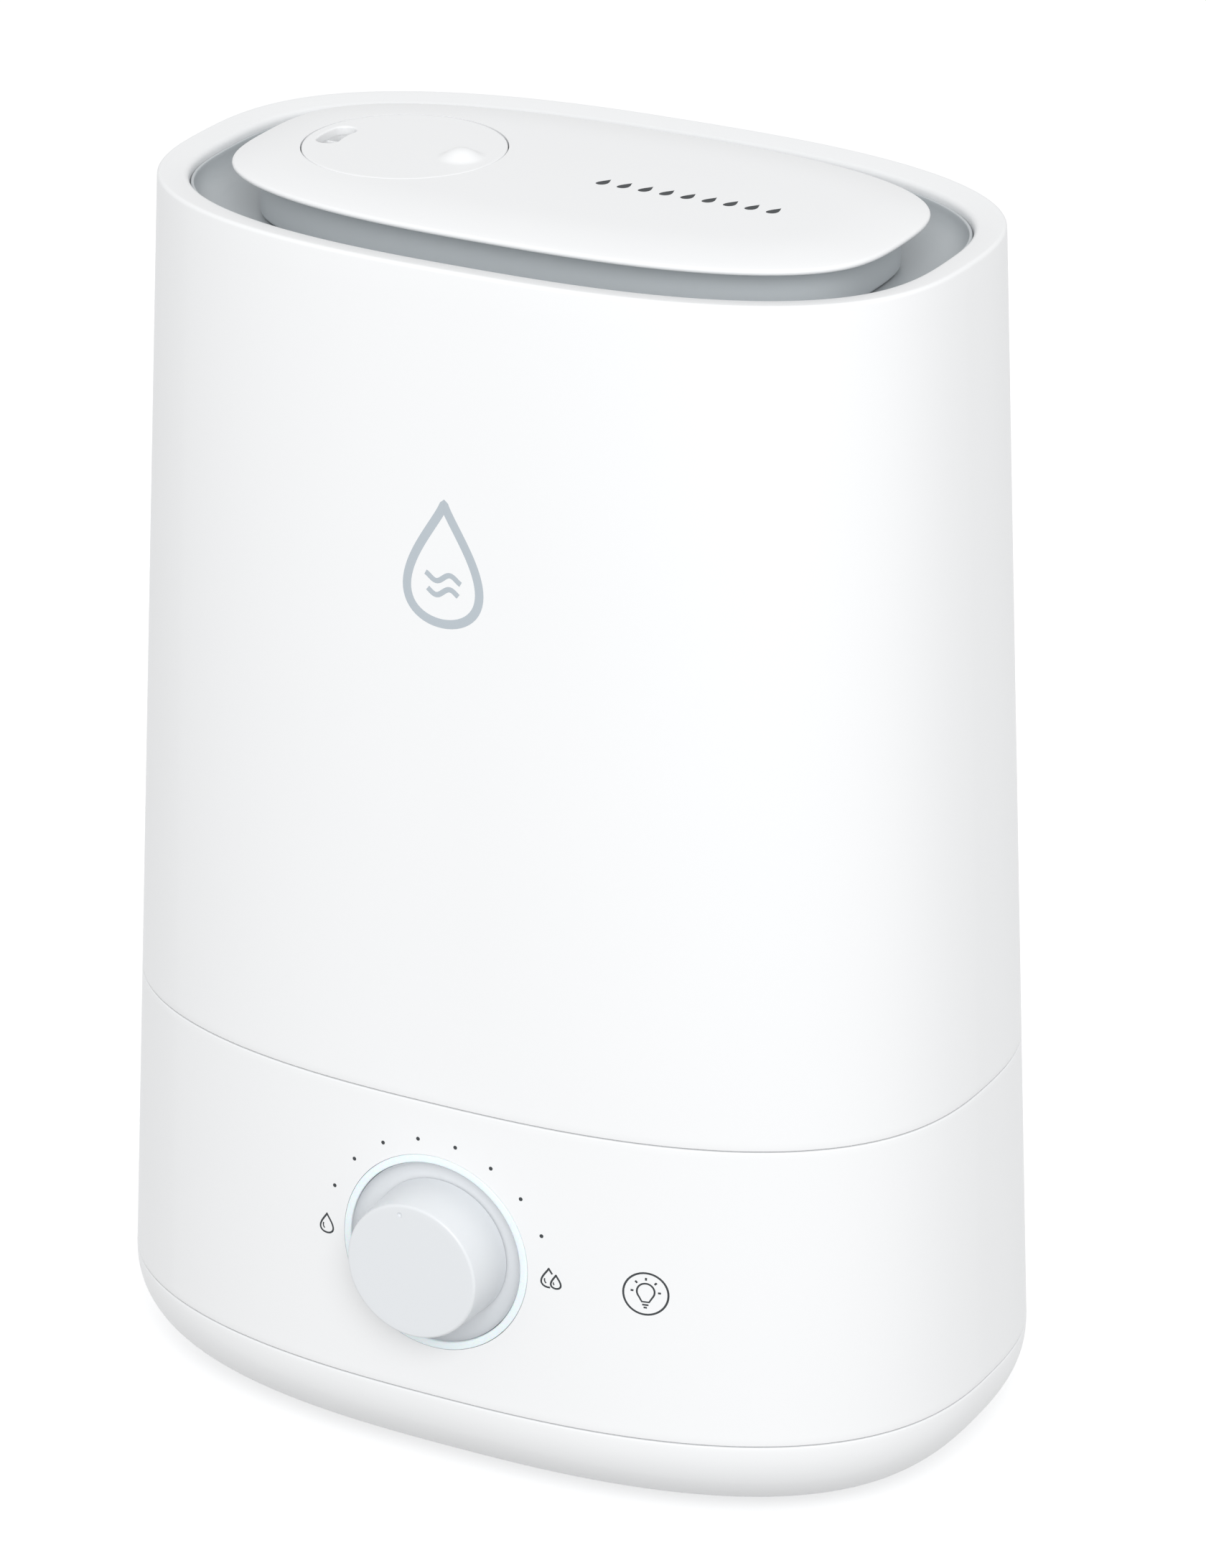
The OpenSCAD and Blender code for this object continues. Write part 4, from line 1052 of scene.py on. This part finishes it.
class HUMIDIFIER_OT_wet_parts(bpy.types.Operator):
    """Smooths the basin and the tank's floor, which show when the tank is lifted"""
    bl_idname = "humidifier.wet_parts"
    bl_label = "Basin and Tank Floor"

    def execute(self, context):
        for node, body in (("basin_tray", "base"), ("tank_floor", "tank")):
            select_only(frame["nodes"][node])
            bpy.ops.object.duplicate()
            piece = bpy.context.object
            for key in [key for key in piece.keys() if key.startswith("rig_")]:
                del piece[key]
            piece.parent = None
            piece.name = piece.data.name = node + "_moulding"
            bpy.ops.object.mode_set(mode="EDIT")
            bpy.ops.mesh.select_all(action="SELECT")
            bpy.ops.mesh.remove_doubles(threshold=1e-6)
            bpy.ops.object.mode_set(mode="OBJECT")
            finish_piece(piece, basin_polypropylene(), body, "basin_plastic", node)
        return {"FINISHED"}


class HUMIDIFIER_OT_finishes(bpy.types.Operator):
    """Gives every CAD piece the finish of its material slot"""
    bl_idname = "humidifier.finishes"
    bl_label = "Finishes"

    def execute(self, context):
        for row in frame["record"]["subparts"]:
            node = frame["nodes"][row["node"]]
            finish = FINISH_OF_SLOT[row["material_slot"]]()
            for place in node.material_slots:
                place.material = finish
            if not node.material_slots:
                node.data.materials.append(finish)
        return {"FINISHED"}


class HUMIDIFIER_OT_stage(bpy.types.Operator):
    """Sets the pale floor, the soft studio light and the camera"""
    bl_idname = "humidifier.stage"
    bl_label = "Stage"

    def execute(self, context):
        deselect_all()
        bpy.ops.mesh.primitive_plane_add(size=12.0)
        floor = bpy.context.object
        floor.name = "studio_floor"
        floor.data.materials.append(surface(
            "studio_paper", "#D3D4D5", 0.9, shade=0.002, patch=300.0, grain=2.0, depth=0.001,
            **{"Specular IOR Level": 0.0, "Emission Color": linear("#FFFFFF"), "Emission Strength": 0.5}))
        floor.visible_diffuse = False       # the paper glows to pure white, and must not light the object
        context.scene.world = self.studio_air(below=0.33, level=0.83, above=0.74)
        target = Vector((0.0, CENTRE_Y, VIEW_HEIGHT))
        self.softbox("key_softbox", target, 30, 32, 2.2, 1.4, 23.5)
        self.camera(context, target)
        context.scene.view_settings.view_transform = "Standard"
        return {"FINISHED"}

    def studio_air(self, **strengths):
        """A white surround whose brightness changes from below, through eye level, to above"""
        world = bpy.data.worlds.new("studio_air")
        world.use_nodes = True
        tree = world.node_tree
        tree.nodes.clear()
        place = add_node(tree, "ShaderNodeTexCoord")
        height = add_node(tree, "ShaderNodeSeparateXYZ", None, {"Vector": (place, "Generated")})
        share = add_node(tree, "ShaderNodeMapRange", {"From Min": -1.0, "From Max": 1.0},
                         {"Value": (height, "Z")})
        ramp = add_node(tree, "ShaderNodeValToRGB", None, {"Fac": (share, "Result")})
        stops = ramp.color_ramp.elements
        stops.new(0.5)
        for stop, name in zip(stops, ("below", "level", "above")):
            stop.color = [strengths[name]] * 3 + [1.0]
        air = add_node(tree, "ShaderNodeBackground", None, {"Color": (ramp, "Color")})
        add_node(tree, "ShaderNodeOutputWorld", None, {"Surface": (air, "Background")})
        return world

    def direction(self, azimuth, elevation):
        """The way from the object towards a viewer, where azimuth 0 stands in front"""
        a, e = math.radians(azimuth), math.radians(elevation)
        return Vector((math.sin(a) * math.cos(e), -math.cos(a) * math.cos(e), math.sin(e)))

    def softbox(self, name, target, azimuth, elevation, distance, size, power):
        """A round area light of a size in metres and a power in watts that shines on the target"""
        way = self.direction(azimuth, elevation)
        bpy.ops.object.light_add(type="AREA", location=target + way * distance)
        light = bpy.context.object
        light.name = light.data.name = name
        light.rotation_euler = way.to_track_quat("Z", "Y").to_euler()
        light.data.shape = "DISK"
        light.data.size = size
        light.data.energy = power
        light.data.color = linear("#FFFFFF")[:3]

    def camera(self, context, target):
        way = self.direction(VIEW_AZIMUTH, VIEW_ELEVATION)
        bpy.ops.object.camera_add(location=target + way * VIEW_DISTANCE)
        camera = bpy.context.object
        camera.name = camera.data.name = "view_camera"
        camera.rotation_euler = way.to_track_quat("Z", "Y").to_euler()
        camera.data.sensor_width = 36.0
        camera.data.lens = VIEW_LENS
        camera.data.shift_x, camera.data.shift_y = VIEW_SHIFT
        context.scene.camera = camera


PIECE_OPERATORS = [
    HUMIDIFIER_OT_tank, HUMIDIFIER_OT_funnel, HUMIDIFIER_OT_base, HUMIDIFIER_OT_pan, HUMIDIFIER_OT_lid,
    HUMIDIFIER_OT_nozzle, HUMIDIFIER_OT_knob, HUMIDIFIER_OT_dish, HUMIDIFIER_OT_scale, HUMIDIFIER_OT_key,
    HUMIDIFIER_OT_emblem, HUMIDIFIER_OT_wet_parts, HUMIDIFIER_OT_finishes, HUMIDIFIER_OT_stage,
]


class HUMIDIFIER_PT_panel(bpy.types.Panel):
    """Lists the pieces, sizes and colours"""
    bl_idname = "HUMIDIFIER_PT_panel"
    bl_label = "Cool Mist Humidifier"
    bl_space_type = "VIEW_3D"
    bl_region_type = "UI"
    bl_category = "Humidifier"

    def draw(self, context):
        for operator in PIECE_OPERATORS:
            self.layout.operator(operator.bl_idname)
        for group in (context.scene.humidifier_sizes, context.scene.humidifier_colours):
            box = self.layout.box()
            for name in group.bl_rna.properties.keys():
                if name not in ("rna_type", "name"):
                    box.prop(group, name)


CLASSES = [HumidifierSizes, HumidifierColours, *PIECE_OPERATORS, HUMIDIFIER_PT_panel]


def register():
    for cls in CLASSES:
        bpy.utils.register_class(cls)
    bpy.types.Scene.humidifier_sizes = bpy.props.PointerProperty(type=HumidifierSizes)
    bpy.types.Scene.humidifier_colours = bpy.props.PointerProperty(type=HumidifierColours)


def unregister():
    del bpy.types.Scene.humidifier_colours
    del bpy.types.Scene.humidifier_sizes
    for cls in reversed(CLASSES):
        bpy.utils.unregister_class(cls)


def main():
    register()
    for operator in PIECE_OPERATORS:
        group, name = operator.bl_idname.split(".")
        getattr(getattr(bpy.ops, group), name)()


if __name__ == "__main__":
    main()
